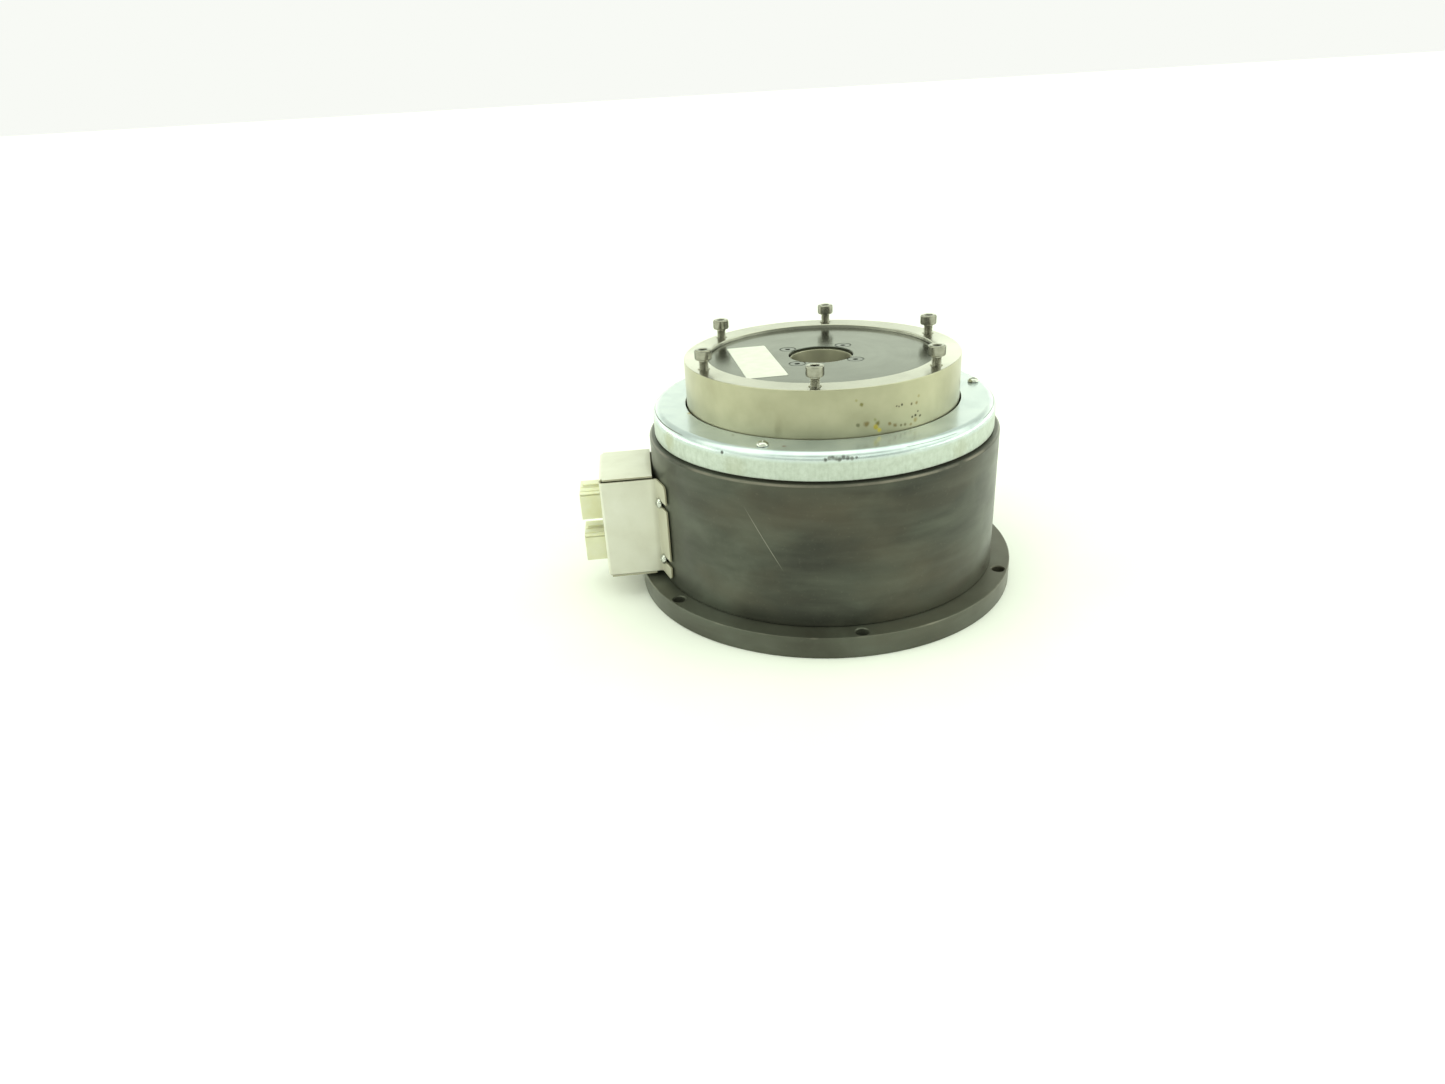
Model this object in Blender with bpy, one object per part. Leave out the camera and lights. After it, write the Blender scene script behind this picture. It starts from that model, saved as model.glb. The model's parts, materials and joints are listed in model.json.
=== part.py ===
"""A hollow direct-drive rotary motor, standing on its base flange with its axis along +Z.

The base flange, shell, centre post, two wound stators, connector box and top disc stand still.
The output ring, its bearing outer ring, the toothed rotor sleeve and the resolver rotor turn as
one about Z, and the crossed rollers of the bearing follow them at about half the speed.
All lengths are in metres, and the origin is on the axis at the underside of the flange.
"""

import math

import bmesh
import bpy
from mathutils import Matrix, Vector

# Clearances
SEAT_GAP = 0.0003  # between pieces that seat on each other
HEAD_GAP = 0.0001  # under a screw head
AIR_GAP = 0.0005  # between poles and rotor teeth
COVER_RUN_GAP = 0.0007  # dust cover to turning ring
DISC_RUN_GAP = 0.00045  # top disc to turning ring
DISC_CLEARANCE = 0.0008  # top disc above the lock nuts
RACE_GAP = 0.0006  # between the two bearing rings
ROLLER_GAP = 0.0005  # roller to raceway

# Radial sizes, from the bore outwards
BORE_RADIUS = 0.0158
SLEEVE_WALL = 0.0012
POST_WALL = 0.0187
INNER_STATOR_DEPTH = 0.0253
ROTOR_DEPTH = 0.0078
OUTER_STATOR_DEPTH = 0.0173
SHELL_WALL = 0.0064
FLANGE_LEDGE = 0.0106
INNER_YOKE = 0.0045
OUTER_YOKE = 0.0040
TOOTH_DEPTH = 0.0012
SEAT_STEP = 0.0040  # post body to bearing seat
SHOULDER_STEP = 0.0040  # bearing seat to post shoulder
NECK_STEP = 0.0075  # bearing seat to the threaded neck
BEARING_DEPTH = 0.01985
RING_SEAT = 0.0064  # ring shoulder under the bearing outer ring
RING_OVERHANG = 0.0030  # output ring beyond the rotor sleeve
NUT_WIDTH = 0.0057
SPACER_WALL = 0.0042
CORE_STOP = 0.0028  # step in the shell that stops the outer core
COLLAR_WIDTH = 0.0030
RIM_WIDTH = 0.00274  # shell rim left outside the dust cover
LIP_CLEARANCE = 0.0044  # shell lip outside the dust cover opening
RESOLVER_STEP = 0.0040
RESOLVER_CLEARANCE = 0.0036

# Heights, from the underside up
FLANGE_THICKNESS = 0.0116
STATOR_LIFT = 0.0201  # core above the flange
CORE_HEIGHT = 0.0500
END_TURN = 0.0060  # winding beyond the core
END_CLEARANCE = 0.0040  # above the winding
LIP_THICKNESS = 0.0086
COVER_SHEET = 0.0010
COVER_HEIGHT = 0.0139
COVER_LIFT = 0.0010  # skirt above the shell rim
COVER_ROLL = 0.0042
POST_SHOULDER = 0.0077
BEARING_HEIGHT = 0.0160
RING_SHOULDER = 0.0047
NUT_HEIGHT = 0.0027
DISC_THICKNESS = 0.0040
RING_RECESS = 0.0020  # disc below the ring's top
SLEEVE_DROP = 0.0015  # sleeve end below the disc's face
NECK_FOOT = 0.0006  # sleeve's neck starts this far under the disc
COLLAR_HEIGHT = 0.0020
ROTOR_TAIL = 0.0020  # rotor sleeve below the cores
END_RING_HEIGHT = 0.0050
END_RING_INSET = 0.0002
RESOLVER_HEIGHT = 0.0070
RESOLVER_HEADROOM = 0.0026  # resolver stator to the bus ring above it
BUS_HEIGHT = 0.0025
BUS_WIDTH = 0.0040
BUS_LAP = 0.0010  # bus ring sunk into the coils

# Edges
SHELL_CHAMFER = 0.0012
EDGE_CHAMFER = 0.0005

# Poles, teeth and rollers
POLE_COUNT = 9
POLE_HALF_ANGLE = math.radians(10.5)  # outer pole at its root
POLE_TAPER = math.radians(1.0)
INNER_POLE_WIDTH = 0.0190
COIL_INSET = 0.0016  # coil back from pole faces and yokes
COIL_GAP = 0.0006  # between neighbouring coils
TOOTH_COUNT = 24
TOOTH_SHARE = 0.42
FLANK_SHARE = 0.10
ROLLER_COUNT = 14
ROLLER_RADIUS = 0.0036
ROLLER_SHORT = 0.0002  # roller length less than its diameter
CAGE_HALF = 0.0020
SPANNER_SLOTS = 4
SLOT_WIDTH = 0.0040
SLOT_DEPTH = 0.0022

# Screws: thread radii, then head sizes as multiples of the thread radius
M3_RADIUS = 0.0015
M4_RADIUS = 0.0020
M5_RADIUS = 0.0025
CAP_HEAD = 1.7
CAP_HEIGHT = 2.0
CAP_BEVEL = 0.16
PAN_HEAD = 1.95
PAN_HEIGHT = 1.4
PAN_CROWN = (0.6, 0.9)  # share of the head's radius and height
PAN_EDGE = 0.35  # share of the head's height
SINK_HEAD = 2.0
SINK_RIM = 0.15
SINK_SOCKET = 0.8  # its recess against a cap screw's
SOCKET_ACROSS = 0.92
SOCKET_DEPTH = 1.0
RING_SCREW_LENGTH = 0.0160
RING_SCREW_STAND = 0.0052  # shank left showing above the ring
DISC_SCREW_LENGTH = 0.0110
COVER_SCREW_LENGTH = 0.0070
BASE_SCREW_LENGTH = 0.0140
BOX_SCREW_LENGTH = 0.0050
TIE_BOLT_GRIP = 0.0040  # thread in the output ring's shoulder
HOLE_SPARE = 0.0010  # thread beyond a screw's end
HEAD_SINK = 0.0006  # hidden heads inside their counterbores

# Screw circles
MOUNT_HOLE_RADIUS = 0.0033
MOUNT_HOLE_EDGE = 0.0050
MOUNT_HOLE_COUNT = 6
RING_SCREW_COUNT = 6
RING_SCREW_TURN = math.radians(16.6)
DISC_SCREW_COUNT = 4
DISC_SCREW_EDGE = 0.0046
COVER_SCREW_COUNT = 3
COVER_SCREW_EDGE = 0.0073
POST_SCREW_COUNT = 4
SHELL_SCREW_COUNT = 4
TIE_BOLT_COUNT = 3

# Connector box on the shell's -X side, drawn along +X and turned half round by its parent
BOX_REACH = 0.0291
BOX_HALF_WIDTH = 0.0215
BOX_SHEET = 0.0010
BOX_FOOT = 0.0034  # side walls above the flange
BOX_BEND = 0.0018
BOX_BACK_GAP = 0.0008  # top flap to the shell
FLAP_INSET = 0.0001  # flap leg inside the faces of the front wall
FLAP_LAP = 0.0020
TAB_WIDTH = 0.0134
TAB_SCREW_SPARE = 0.000375  # box screw heads beside the bend
TAB_SCREW_LOW = 0.0092  # lower screws above the foot of the walls
TAB_SCREW_PITCH = 0.0330
CONNECTOR_WIDTH = 0.0200
CONNECTOR_HEIGHT = 0.0150
CONNECTOR_REACH = 0.0117
CONNECTOR_TAIL = 0.0110  # behind the front wall
CONNECTOR_RIM = 0.0014
CONNECTOR_WALL = 0.0016
CONNECTOR_CAVITY = 0.0095
CONNECTOR_FLANGE = 0.0020
RIB_COUNT = 3
RIB_WIDTH = 0.0018
RIB_HEIGHT = 0.0007
RIB_LAP = 0.0004
CONNECTOR_FOOT = 0.0048  # lower connector above the foot of the walls
CONNECTOR_SPACE = 0.0099  # between the two connectors
CONNECTOR_HEADROOM = 0.0103  # walls above the upper connector
GROMMET_RADIUS = 0.0062
GROMMET_RIM = 0.0016
GROMMET_HEAD = 0.0020
GROMMET_TAIL = 0.0012
GROMMET_DROP = 0.0018  # grommet below the outer core
POWER_LEAD_RADIUS = 0.0021
SIGNAL_LEAD_RADIUS = 0.0014
LEAD_SPREAD = 0.0029  # each lead beside the grommet's centre
LEAD_STRAIGHT = 0.0026  # straight stretch past both faces of the shell
LEAD_FLOOR_GAP = 0.0006  # signal lead above the flange

# Lead points chosen by hand: out from the shell or in from its bore, and above the grommet
POWER_OUTSIDE = ((0.0121, 0.0280), (0.0086, 0.0230), (0.0078, 0.0140), (0.0074, 0.0060), (0.0056, 0.0015))
POWER_INSIDE = ((0.0055, -0.0006), (0.0090, -0.0009))
SIGNAL_OUTSIDE = ((0.0121, 0.0028), (0.0066, 0.0007))
SIGNAL_INSIDE = ((0.0065, -0.0028), (0.0115, -0.0075), (0.0170, -0.0098))
SIGNAL_RUN_IN = 0.0069  # last straight to the resolver

# Facets
SEEN_STEPS = 48
HIDDEN_STEPS = 30
SCREW_STEPS = 10
SMALL_STEPS = 8
ARC_STEPS = 3
LEAD_STEPS = 2
LEAD_ROUND_STEPS = 2
CUT_REACH = 0.0020  # cutters run this far past what they cut
WELD = 0.000001  # points closer than this are one
SMOOTH_ANGLE = math.radians(32.0)

# Radii that follow
sleeve_radius = BORE_RADIUS + SLEEVE_WALL
post_bore = sleeve_radius + SEAT_GAP
post_radius = post_bore + POST_WALL
inner_core_bore = post_radius + SEAT_GAP
inner_core_radius = inner_core_bore + INNER_STATOR_DEPTH
rotor_bore = inner_core_radius + AIR_GAP
rotor_radius = rotor_bore + ROTOR_DEPTH
outer_core_bore = rotor_radius + AIR_GAP
outer_core_radius = outer_core_bore + OUTER_STATOR_DEPTH
shell_bore = outer_core_radius + SEAT_GAP
shell_radius = shell_bore + SHELL_WALL
flange_radius = shell_radius + FLANGE_LEDGE
seat_radius = post_radius + SEAT_STEP
neck_radius = seat_radius - NECK_STEP
bearing_bore = seat_radius + SEAT_GAP
bearing_radius = bearing_bore + BEARING_DEPTH
roller_circle = (bearing_bore + bearing_radius) / 2
ring_bore = bearing_radius + SEAT_GAP
ring_radius = rotor_radius + RING_OVERHANG
ring_screw_circle = (ring_bore + ring_radius) / 2
disc_radius = ring_bore - DISC_RUN_GAP
cover_opening = ring_radius + COVER_RUN_GAP
skirt_radius = shell_radius - RIM_WIDTH
spigot_radius = skirt_radius - COVER_SHEET - SEAT_GAP
lip_bore = cover_opening + LIP_CLEARANCE
spacer_radius = inner_core_bore + SPACER_WALL
resolver_radius = rotor_bore - RESOLVER_STEP - AIR_GAP
collar_radius = sleeve_radius + COLLAR_WIDTH
tie_circle = (rotor_bore + rotor_radius) / 2
post_screw_circle = (post_bore + post_radius) / 2
shell_screw_circle = (shell_bore + shell_radius) / 2
mount_circle = flange_radius - MOUNT_HOLE_EDGE
disc_screw_circle = sleeve_radius + DISC_SCREW_EDGE
cover_screw_circle = skirt_radius - COVER_SCREW_EDGE

# Heights that follow
floor_z = FLANGE_THICKNESS + SEAT_GAP
core_bottom = floor_z + STATOR_LIFT
core_top = core_bottom + CORE_HEIGHT
winding_bottom = core_bottom - END_TURN
winding_top = core_top + END_TURN
bus_top = winding_bottom + BUS_LAP
bus_bottom = bus_top - BUS_HEIGHT
stop_z = core_top + SEAT_GAP
lip_bottom = winding_top + END_CLEARANCE
lip_top = lip_bottom + LIP_THICKNESS
cover_top = lip_top + SEAT_GAP + COVER_SHEET
skirt_bottom = cover_top - COVER_HEIGHT
rim_z = skirt_bottom - COVER_LIFT
seat_z = lip_bottom + POST_SHOULDER
bearing_bottom = seat_z + SEAT_GAP
bearing_top = bearing_bottom + BEARING_HEIGHT
nut_bottom = bearing_top + SEAT_GAP
nut_top = nut_bottom + NUT_HEIGHT
disc_bottom = nut_top + DISC_CLEARANCE
disc_top = disc_bottom + DISC_THICKNESS
post_top = disc_bottom - SEAT_GAP
ring_top = disc_top + RING_RECESS
ring_bottom = seat_z - RING_SHOULDER
rotor_top = ring_bottom - SEAT_GAP
rotor_bottom = core_bottom - ROTOR_TAIL
end_ring_top = rotor_bottom - SEAT_GAP
end_ring_bottom = end_ring_top - END_RING_HEIGHT
resolver_top = end_ring_bottom - SEAT_GAP
grommet_z = core_bottom - GROMMET_DROP - GROMMET_RADIUS

# Box places that follow
wall_bottom = FLANGE_THICKNESS + BOX_FOOT
signal_z = wall_bottom + CONNECTOR_FOOT + CONNECTOR_HEIGHT / 2
power_z = signal_z + CONNECTOR_HEIGHT + CONNECTOR_SPACE
wall_top = power_z + CONNECTOR_HEIGHT / 2 + CONNECTOR_HEADROOM
box_front = shell_radius + BOX_REACH
tab_plane = shell_radius + SEAT_GAP
tab_turn = math.asin(BOX_HALF_WIDTH / tab_plane) + TAB_WIDTH / 2 / tab_plane


def polar(radius, angle, height=0.0):
    return Vector((radius * math.cos(angle), radius * math.sin(angle), height))


def circle_angles(count, first=0.0):
    return [first + 2 * math.pi * k / count for k in range(count)]


def arc(centre, radius, start, end, steps=ARC_STEPS):
    """Points along an arc, from the start angle to the end angle in degrees."""
    angles = [math.radians(start + (end - start) * k / steps) for k in range(steps + 1)]
    return [(centre[0] + radius * math.cos(a), centre[1] + radius * math.sin(a)) for a in angles]


def make_material(name, colour, metallic, roughness):
    material = bpy.data.materials.new(name)
    material.use_nodes = True
    shader = material.node_tree.nodes["Principled BSDF"]
    shader.inputs["Base Color"].default_value = (*colour, 1.0)
    shader.inputs["Metallic"].default_value = metallic
    shader.inputs["Roughness"].default_value = roughness
    return material


def finish_mesh(bm, name):
    """Closes a bmesh into a mesh with outward faces, smooth but for its sharp edges."""
    bmesh.ops.recalc_face_normals(bm, faces=bm.faces)
    mesh = bpy.data.meshes.new(name)
    bm.to_mesh(mesh)
    bm.free()
    mesh.shade_smooth()
    mesh.set_sharp_from_angle(angle=SMOOTH_ANGLE)
    return mesh


def turned(name, profile, steps):
    """Spins a closed outline of (radius, height) points about Z. Points on the axis weld into one."""
    bm = bmesh.new()
    half_facet = math.pi / steps
    points = [bm.verts.new(polar(radius, half_facet, height)) for radius, height in profile]
    pairs = zip(points, points[1:] + points[:1])
    edges = [bm.edges.new((a, b)) for a, b in pairs if max(a.co.x, b.co.x) > 0.0]
    bmesh.ops.spin(bm, geom=points + edges, cent=(0, 0, 0), axis=(0, 0, 1), angle=2 * math.pi,
                   steps=steps)
    bmesh.ops.remove_doubles(bm, verts=bm.verts, dist=WELD)
    return finish_mesh(bm, name)


def prism(name, outline, low, high):
    """Extrudes an outline of (x, y) points along Z."""
    bm = bmesh.new()
    base = bm.faces.new([bm.verts.new((x, y, low)) for x, y in outline])
    grown = bmesh.ops.extrude_face_region(bm, geom=[base])["geom"]
    tops = [item for item in grown if isinstance(item, bmesh.types.BMVert)]
    bmesh.ops.translate(bm, verts=tops, vec=(0, 0, high - low))
    return finish_mesh(bm, name)


def block(name, low, high):
    """A box between two corners."""
    outline = [(low[0], low[1]), (high[0], low[1]), (high[0], high[1]), (low[0], high[1])]
    return prism(name, outline, low[2], high[2])


def ring_prism(name, stations, low, high):
    """A ring along Z whose inner and outer radii follow a list of (angle, inner, outer)."""
    bm = bmesh.new()
    rows = []
    for angle, inner, outer in stations:
        corners = ((inner, low), (outer, low), (outer, high), (inner, high))
        rows.append([bm.verts.new(polar(radius, angle, z)) for radius, z in corners])
    for here, ahead in zip(rows, rows[1:] + rows[:1]):
        for k in range(4):
            after = (k + 1) % 4
            bm.faces.new((here[k], here[after], ahead[after], ahead[k]))
    return finish_mesh(bm, name)


def copies(name, mesh, places):
    """One mesh that holds a copy of another at each place."""
    bm = bmesh.new()
    for place in places:
        piece = mesh.copy()
        piece.transform(place)
        bm.from_mesh(piece)
        bpy.data.meshes.remove(piece)
    return finish_mesh(bm, name)


def rounded(points, radii, steps=ARC_STEPS):
    """An outline with a fillet of the given radius at each point; zero keeps the corner."""
    outline = []
    for k, radius in enumerate(radii):
        here = Vector(points[k])
        back = (Vector(points[k - 1]) - here).normalized()
        ahead = (Vector(points[(k + 1) % len(points)]) - here).normalized()
        if radius == 0.0:
            outline.append(tuple(here))
            continue
        half = back.angle(ahead) / 2
        centre = here + (back + ahead).normalized() * (radius / math.sin(half))
        start = here + back * (radius / math.tan(half)) - centre
        end = here + ahead * (radius / math.tan(half)) - centre
        first = math.atan2(start.y, start.x)
        sweep = (math.atan2(end.y, end.x) - first + math.pi) % (2 * math.pi) - math.pi
        outline += arc(centre, radius, math.degrees(first), math.degrees(first + sweep), steps)
    return outline


def add_piece(name, data, material, parent=None, location=(0, 0, 0), rotation=(0, 0, 0)):
    """A named piece with its own material, placed under its parent."""
    piece = bpy.data.objects.new(name, data)
    bpy.context.scene.collection.objects.link(piece)
    piece.parent = parent
    piece.location = location
    piece.rotation_euler = rotation
    if not data.materials:
        data.materials.append(material)
    return piece


def add_frame(name, rotation=0.0):
    """An empty on the motor's axis."""
    frame = bpy.data.objects.new(name, None)
    bpy.context.scene.collection.objects.link(frame)
    frame.rotation_euler = (0, 0, rotation)
    return frame


def add_cutter(name, mesh, parent=None):
    """A hidden shape for a Boolean."""
    cutter = bpy.data.objects.new(name, mesh)
    bpy.context.scene.collection.objects.link(cutter)
    cutter.parent = parent
    cutter.hide_render = True
    cutter.display_type = "WIRE"
    return cutter


def combine(piece, cutter, operation):
    boolean = piece.modifiers.new(cutter.name, "BOOLEAN")
    boolean.operation = operation
    boolean.solver = "EXACT"
    boolean.object = cutter


def cut_mesh(name, mesh, cutter_mesh):
    """A mesh with another cut out of it, ready to be shared by several pieces."""
    base = bpy.data.objects.new(name, mesh)
    bpy.context.scene.collection.objects.link(base)
    cutter = add_cutter(name + "_recess", cutter_mesh)
    combine(base, cutter, "DIFFERENCE")
    graph = bpy.context.evaluated_depsgraph_get()
    result = bpy.data.meshes.new_from_object(base.evaluated_get(graph))
    bpy.data.objects.remove(base)
    bpy.data.objects.remove(cutter)
    result.name = name
    result.shade_smooth()
    result.set_sharp_from_angle(angle=SMOOTH_ANGLE)
    return result


def round_hole(name, radius, low, high, steps=SCREW_STEPS):
    return turned(name, [(0, high), (radius, high), (radius, low), (0, low)], steps)


def stepped_hole(name, head, shank, low, seat, high):
    """A counterbore from below, with its through hole above the seat."""
    outline = [(0, high), (shank, high), (shank, seat), (head, seat), (head, low), (0, low)]
    return turned(name, outline, SMALL_STEPS)


def on_circle(radius, angles, height=0.0):
    return [Matrix.Translation(polar(radius, a, height)) @ Matrix.Rotation(a, 4, "Z") for a in angles]


def socket(thread, top):
    """The hexagon recess of a screw whose head ends at the given height."""
    across = SOCKET_ACROSS * thread
    return round_hole("socket", across, top - SOCKET_DEPTH * thread, top + CUT_REACH, 6)


def cap_screw(name, thread, length, steps):
    """A socket cap screw with its head above the seat at z = 0 and its thread below."""
    head = CAP_HEAD * thread
    top = CAP_HEIGHT * thread
    bevel = CAP_BEVEL * thread
    outline = [(0, top), (head - bevel, top), (head, top - bevel), (head, 0), (thread, 0),
               (thread, -length), (0, -length)]
    return cut_mesh(name, turned(name, outline, steps), socket(thread, top))


def pan_screw(name, thread, length):
    """A pan-head screw seated at z = 0."""
    head = PAN_HEAD * thread
    top = PAN_HEIGHT * thread
    outline = [(0, top), (PAN_CROWN[0] * head, PAN_CROWN[1] * top), (head, PAN_EDGE * top), (head, 0),
               (thread, 0), (thread, -length), (0, -length)]
    return turned(name, outline, SCREW_STEPS)


def sink_outline(thread, length, grow, rise):
    """Half section of a countersunk screw with its top at z = rise, grown by a clearance."""
    head = SINK_HEAD * thread
    rim = SINK_RIM * thread
    return [(0, rise), (head + grow, rise), (head + grow, -rim),
            (thread + grow, -rim - head + thread), (thread + grow, -length), (0, -length)]


def sink_screw(name, thread, length):
    mesh = turned(name, sink_outline(thread, length, 0.0, 0.0), SCREW_STEPS)
    return cut_mesh(name, mesh, socket(SINK_SOCKET * thread, 0.0))


def smooth_route(points, steps=LEAD_STEPS):
    """Points along a smooth curve through a lead's own points."""
    ends = [2 * points[0] - points[1], *points, 2 * points[-1] - points[-2]]
    route = []
    for before, start, end, after in zip(ends, ends[1:], ends[2:], ends[3:]):
        for k in range(steps):
            t = k / steps
            route.append(0.5 * (2 * start + (end - before) * t
                                + (2 * before - 5 * start + 4 * end - after) * t ** 2
                                + (3 * start - before - 3 * end + after) * t ** 3))
    return [*route, points[-1]]


def add_lead(name, points, radius, material, parent):
    """A round lead along its route, with closed ends."""
    curve = bpy.data.curves.new(name, "CURVE")
    curve.dimensions = "3D"
    curve.bevel_depth = radius
    curve.bevel_resolution = LEAD_ROUND_STEPS
    curve.use_fill_caps = True
    route = smooth_route([Vector(point) for point in points])
    spline = curve.splines.new("POLY")
    spline.points.add(len(route) - 1)
    for point, place in zip(spline.points, route):
        point.co = (*place, 1.0)
    return add_piece(name, curve, material, parent)


def numbered(name, mesh, material, places, parent=None):
    """Separate pieces that share a mesh, one at each (location, rotation)."""
    for number, (location, rotation) in enumerate(places, start=1):
        add_piece(f"{name}_{number}", mesh, material, parent, location, rotation)


def upright(radius, angles, height):
    return [(polar(radius, a, height), (0, 0, a)) for a in angles]


def upturned(radius, angles, height):
    return [(polar(radius, a, height), (math.pi, 0, a)) for a in angles]


mount_angles = circle_angles(MOUNT_HOLE_COUNT, math.pi / MOUNT_HOLE_COUNT)
ring_screw_angles = circle_angles(RING_SCREW_COUNT, RING_SCREW_TURN)
tie_angles = circle_angles(TIE_BOLT_COUNT, RING_SCREW_TURN + math.pi / RING_SCREW_COUNT)
disc_screw_angles = circle_angles(DISC_SCREW_COUNT, math.pi / DISC_SCREW_COUNT)
cover_screw_angles = circle_angles(COVER_SCREW_COUNT)
post_screw_angles = circle_angles(POST_SCREW_COUNT, math.pi / POST_SCREW_COUNT)
shell_screw_angles = circle_angles(SHELL_SCREW_COUNT, math.pi / SHELL_SCREW_COUNT)
post_screw_seat = HEAD_SINK + CAP_HEIGHT * M5_RADIUS
shell_screw_seat = HEAD_SINK + CAP_HEIGHT * M4_RADIUS
tie_seat = end_ring_bottom + HEAD_SINK + CAP_HEIGHT * M3_RADIUS


def build_base(material):
    """Round flange with mounting holes, counterbores for the post and shell screws and a sleeve recess."""
    recess = SEAT_GAP + COLLAR_HEIGHT + SEAT_GAP
    outline = [(post_bore, recess), (collar_radius + SEAT_GAP, recess), (collar_radius + SEAT_GAP, 0),
               (flange_radius, 0), (flange_radius, FLANGE_THICKNESS - EDGE_CHAMFER),
               (flange_radius - EDGE_CHAMFER, FLANGE_THICKNESS), (post_bore, FLANGE_THICKNESS)]
    base = add_piece("base_flange", turned("base_flange", outline, SEEN_STEPS), material)
    above = FLANGE_THICKNESS + CUT_REACH
    mount = round_hole("mount", MOUNT_HOLE_RADIUS, -CUT_REACH, above)
    post = stepped_hole("post", CAP_HEAD * M5_RADIUS + SEAT_GAP, M5_RADIUS + SEAT_GAP,
                        -CUT_REACH, post_screw_seat + HEAD_GAP, above)
    shell = stepped_hole("shell", CAP_HEAD * M4_RADIUS + SEAT_GAP, M4_RADIUS + SEAT_GAP,
                         -CUT_REACH, shell_screw_seat + HEAD_GAP, above)
    for mesh, radius, angles in ((mount, mount_circle, mount_angles),
                                 (post, post_screw_circle, post_screw_angles),
                                 (shell, shell_screw_circle, shell_screw_angles)):
        holes = copies(mesh.name + "_holes", mesh, on_circle(radius, angles))
        combine(base, add_cutter(mesh.name + "_holes", holes), "DIFFERENCE")


def tab_place(side, radial, along):
    """A point on the mounting tab of one side, by its distance from the axis and along the tab."""
    turn = side * tab_turn
    return polar(radial, turn) + side * along * Vector((-math.sin(turn), math.cos(turn), 0))


tab_start = (BOX_HALF_WIDTH - tab_plane * math.sin(tab_turn)) / math.cos(tab_turn)
tab_screw_along = tab_start + BOX_BEND - BOX_SHEET + TAB_SCREW_SPARE + PAN_HEAD * M3_RADIUS
tab_screw_heights = [wall_bottom + TAB_SCREW_LOW, wall_bottom + TAB_SCREW_LOW + TAB_SCREW_PITCH]


def tab_screw_places(radial):
    """(location, rotation) of each box screw, with its axis square to its tab."""
    places = []
    for side in (1, -1):
        for height in tab_screw_heights:
            spot = tab_place(side, radial, tab_screw_along) + Vector((0, 0, height))
            places.append((spot, (0, math.pi / 2, side * tab_turn)))
    return places


def build_shell(material, box_frame):
    """Turned shell with a core stop, a lip for the dust cover screws and a rim under the cover."""
    roll = COVER_ROLL - COVER_SHEET - SEAT_GAP
    centre = (spigot_radius - roll, lip_top - roll)
    outline = [(shell_bore, floor_z), (shell_bore, stop_z), (shell_bore - CORE_STOP, stop_z),
               (shell_bore - CORE_STOP, lip_bottom), (lip_bore, lip_bottom), (lip_bore, lip_top),
               *arc(centre, roll, 90, 0), (spigot_radius, rim_z),
               (shell_radius - SHELL_CHAMFER, rim_z), (shell_radius, rim_z - SHELL_CHAMFER),
               (shell_radius, floor_z)]
    shell = add_piece("outer_shell", turned("outer_shell", outline, SEEN_STEPS), material)
    cover_low = cover_top + HEAD_GAP - COVER_SCREW_LENGTH - HOLE_SPARE
    cover_hole = round_hole("cover", M3_RADIUS + SEAT_GAP, cover_low, cover_top, SMALL_STEPS)
    shell_high = shell_screw_seat + BASE_SCREW_LENGTH + HOLE_SPARE
    foot_hole = round_hole("foot", M4_RADIUS + SEAT_GAP, 0, shell_high, SMALL_STEPS)
    for mesh, radius, angles in ((cover_hole, cover_screw_circle, cover_screw_angles),
                                 (foot_hole, shell_screw_circle, shell_screw_angles)):
        holes = copies(mesh.name + "_threads", mesh, on_circle(radius, angles))
        combine(shell, add_cutter(mesh.name + "_threads", holes), "DIFFERENCE")
    deep = BOX_SCREW_LENGTH - BOX_SHEET - HEAD_GAP + HOLE_SPARE
    tab_hole = round_hole("tab", M3_RADIUS + SEAT_GAP, -deep, CUT_REACH, SMALL_STEPS)
    places = [Matrix.LocRotScale(spot, Matrix.Identity(3), None)
              @ Matrix.Rotation(turn[2], 4, "Z") @ Matrix.Rotation(turn[1], 4, "Y")
              for spot, turn in tab_screw_places(tab_plane)]
    combine(shell, add_cutter("tab_threads", copies("tab_threads", tab_hole, places), box_frame),
            "DIFFERENCE")
    way = round_hole("lead_way", GROMMET_RADIUS + SEAT_GAP, shell_bore - CUT_REACH,
                     shell_radius + CUT_REACH)
    way.transform(Matrix.Translation((0, 0, grommet_z)) @ Matrix.Rotation(math.pi / 2, 4, "Y"))
    combine(shell, add_cutter("lead_way", way, box_frame), "DIFFERENCE")


def build_dust_cover(material):
    """Pressed sheet ring with a rolled outer edge."""
    centre = (skirt_radius - COVER_ROLL, cover_top - COVER_ROLL)
    outline = [(cover_opening, cover_top), *arc(centre, COVER_ROLL, 90, 0), (skirt_radius, skirt_bottom),
               (skirt_radius - COVER_SHEET, skirt_bottom),
               *arc(centre, COVER_ROLL - COVER_SHEET, 0, 90), (cover_opening, cover_top - COVER_SHEET)]
    cover = add_piece("dust_cover", turned("dust_cover", outline, SEEN_STEPS), material)
    hole = round_hole("cover_hole", M3_RADIUS + SEAT_GAP, lip_top, cover_top + CUT_REACH, SMALL_STEPS)
    holes = copies("cover_holes", hole, on_circle(cover_screw_circle, cover_screw_angles))
    combine(cover, add_cutter("cover_holes", holes), "DIFFERENCE")


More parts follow.
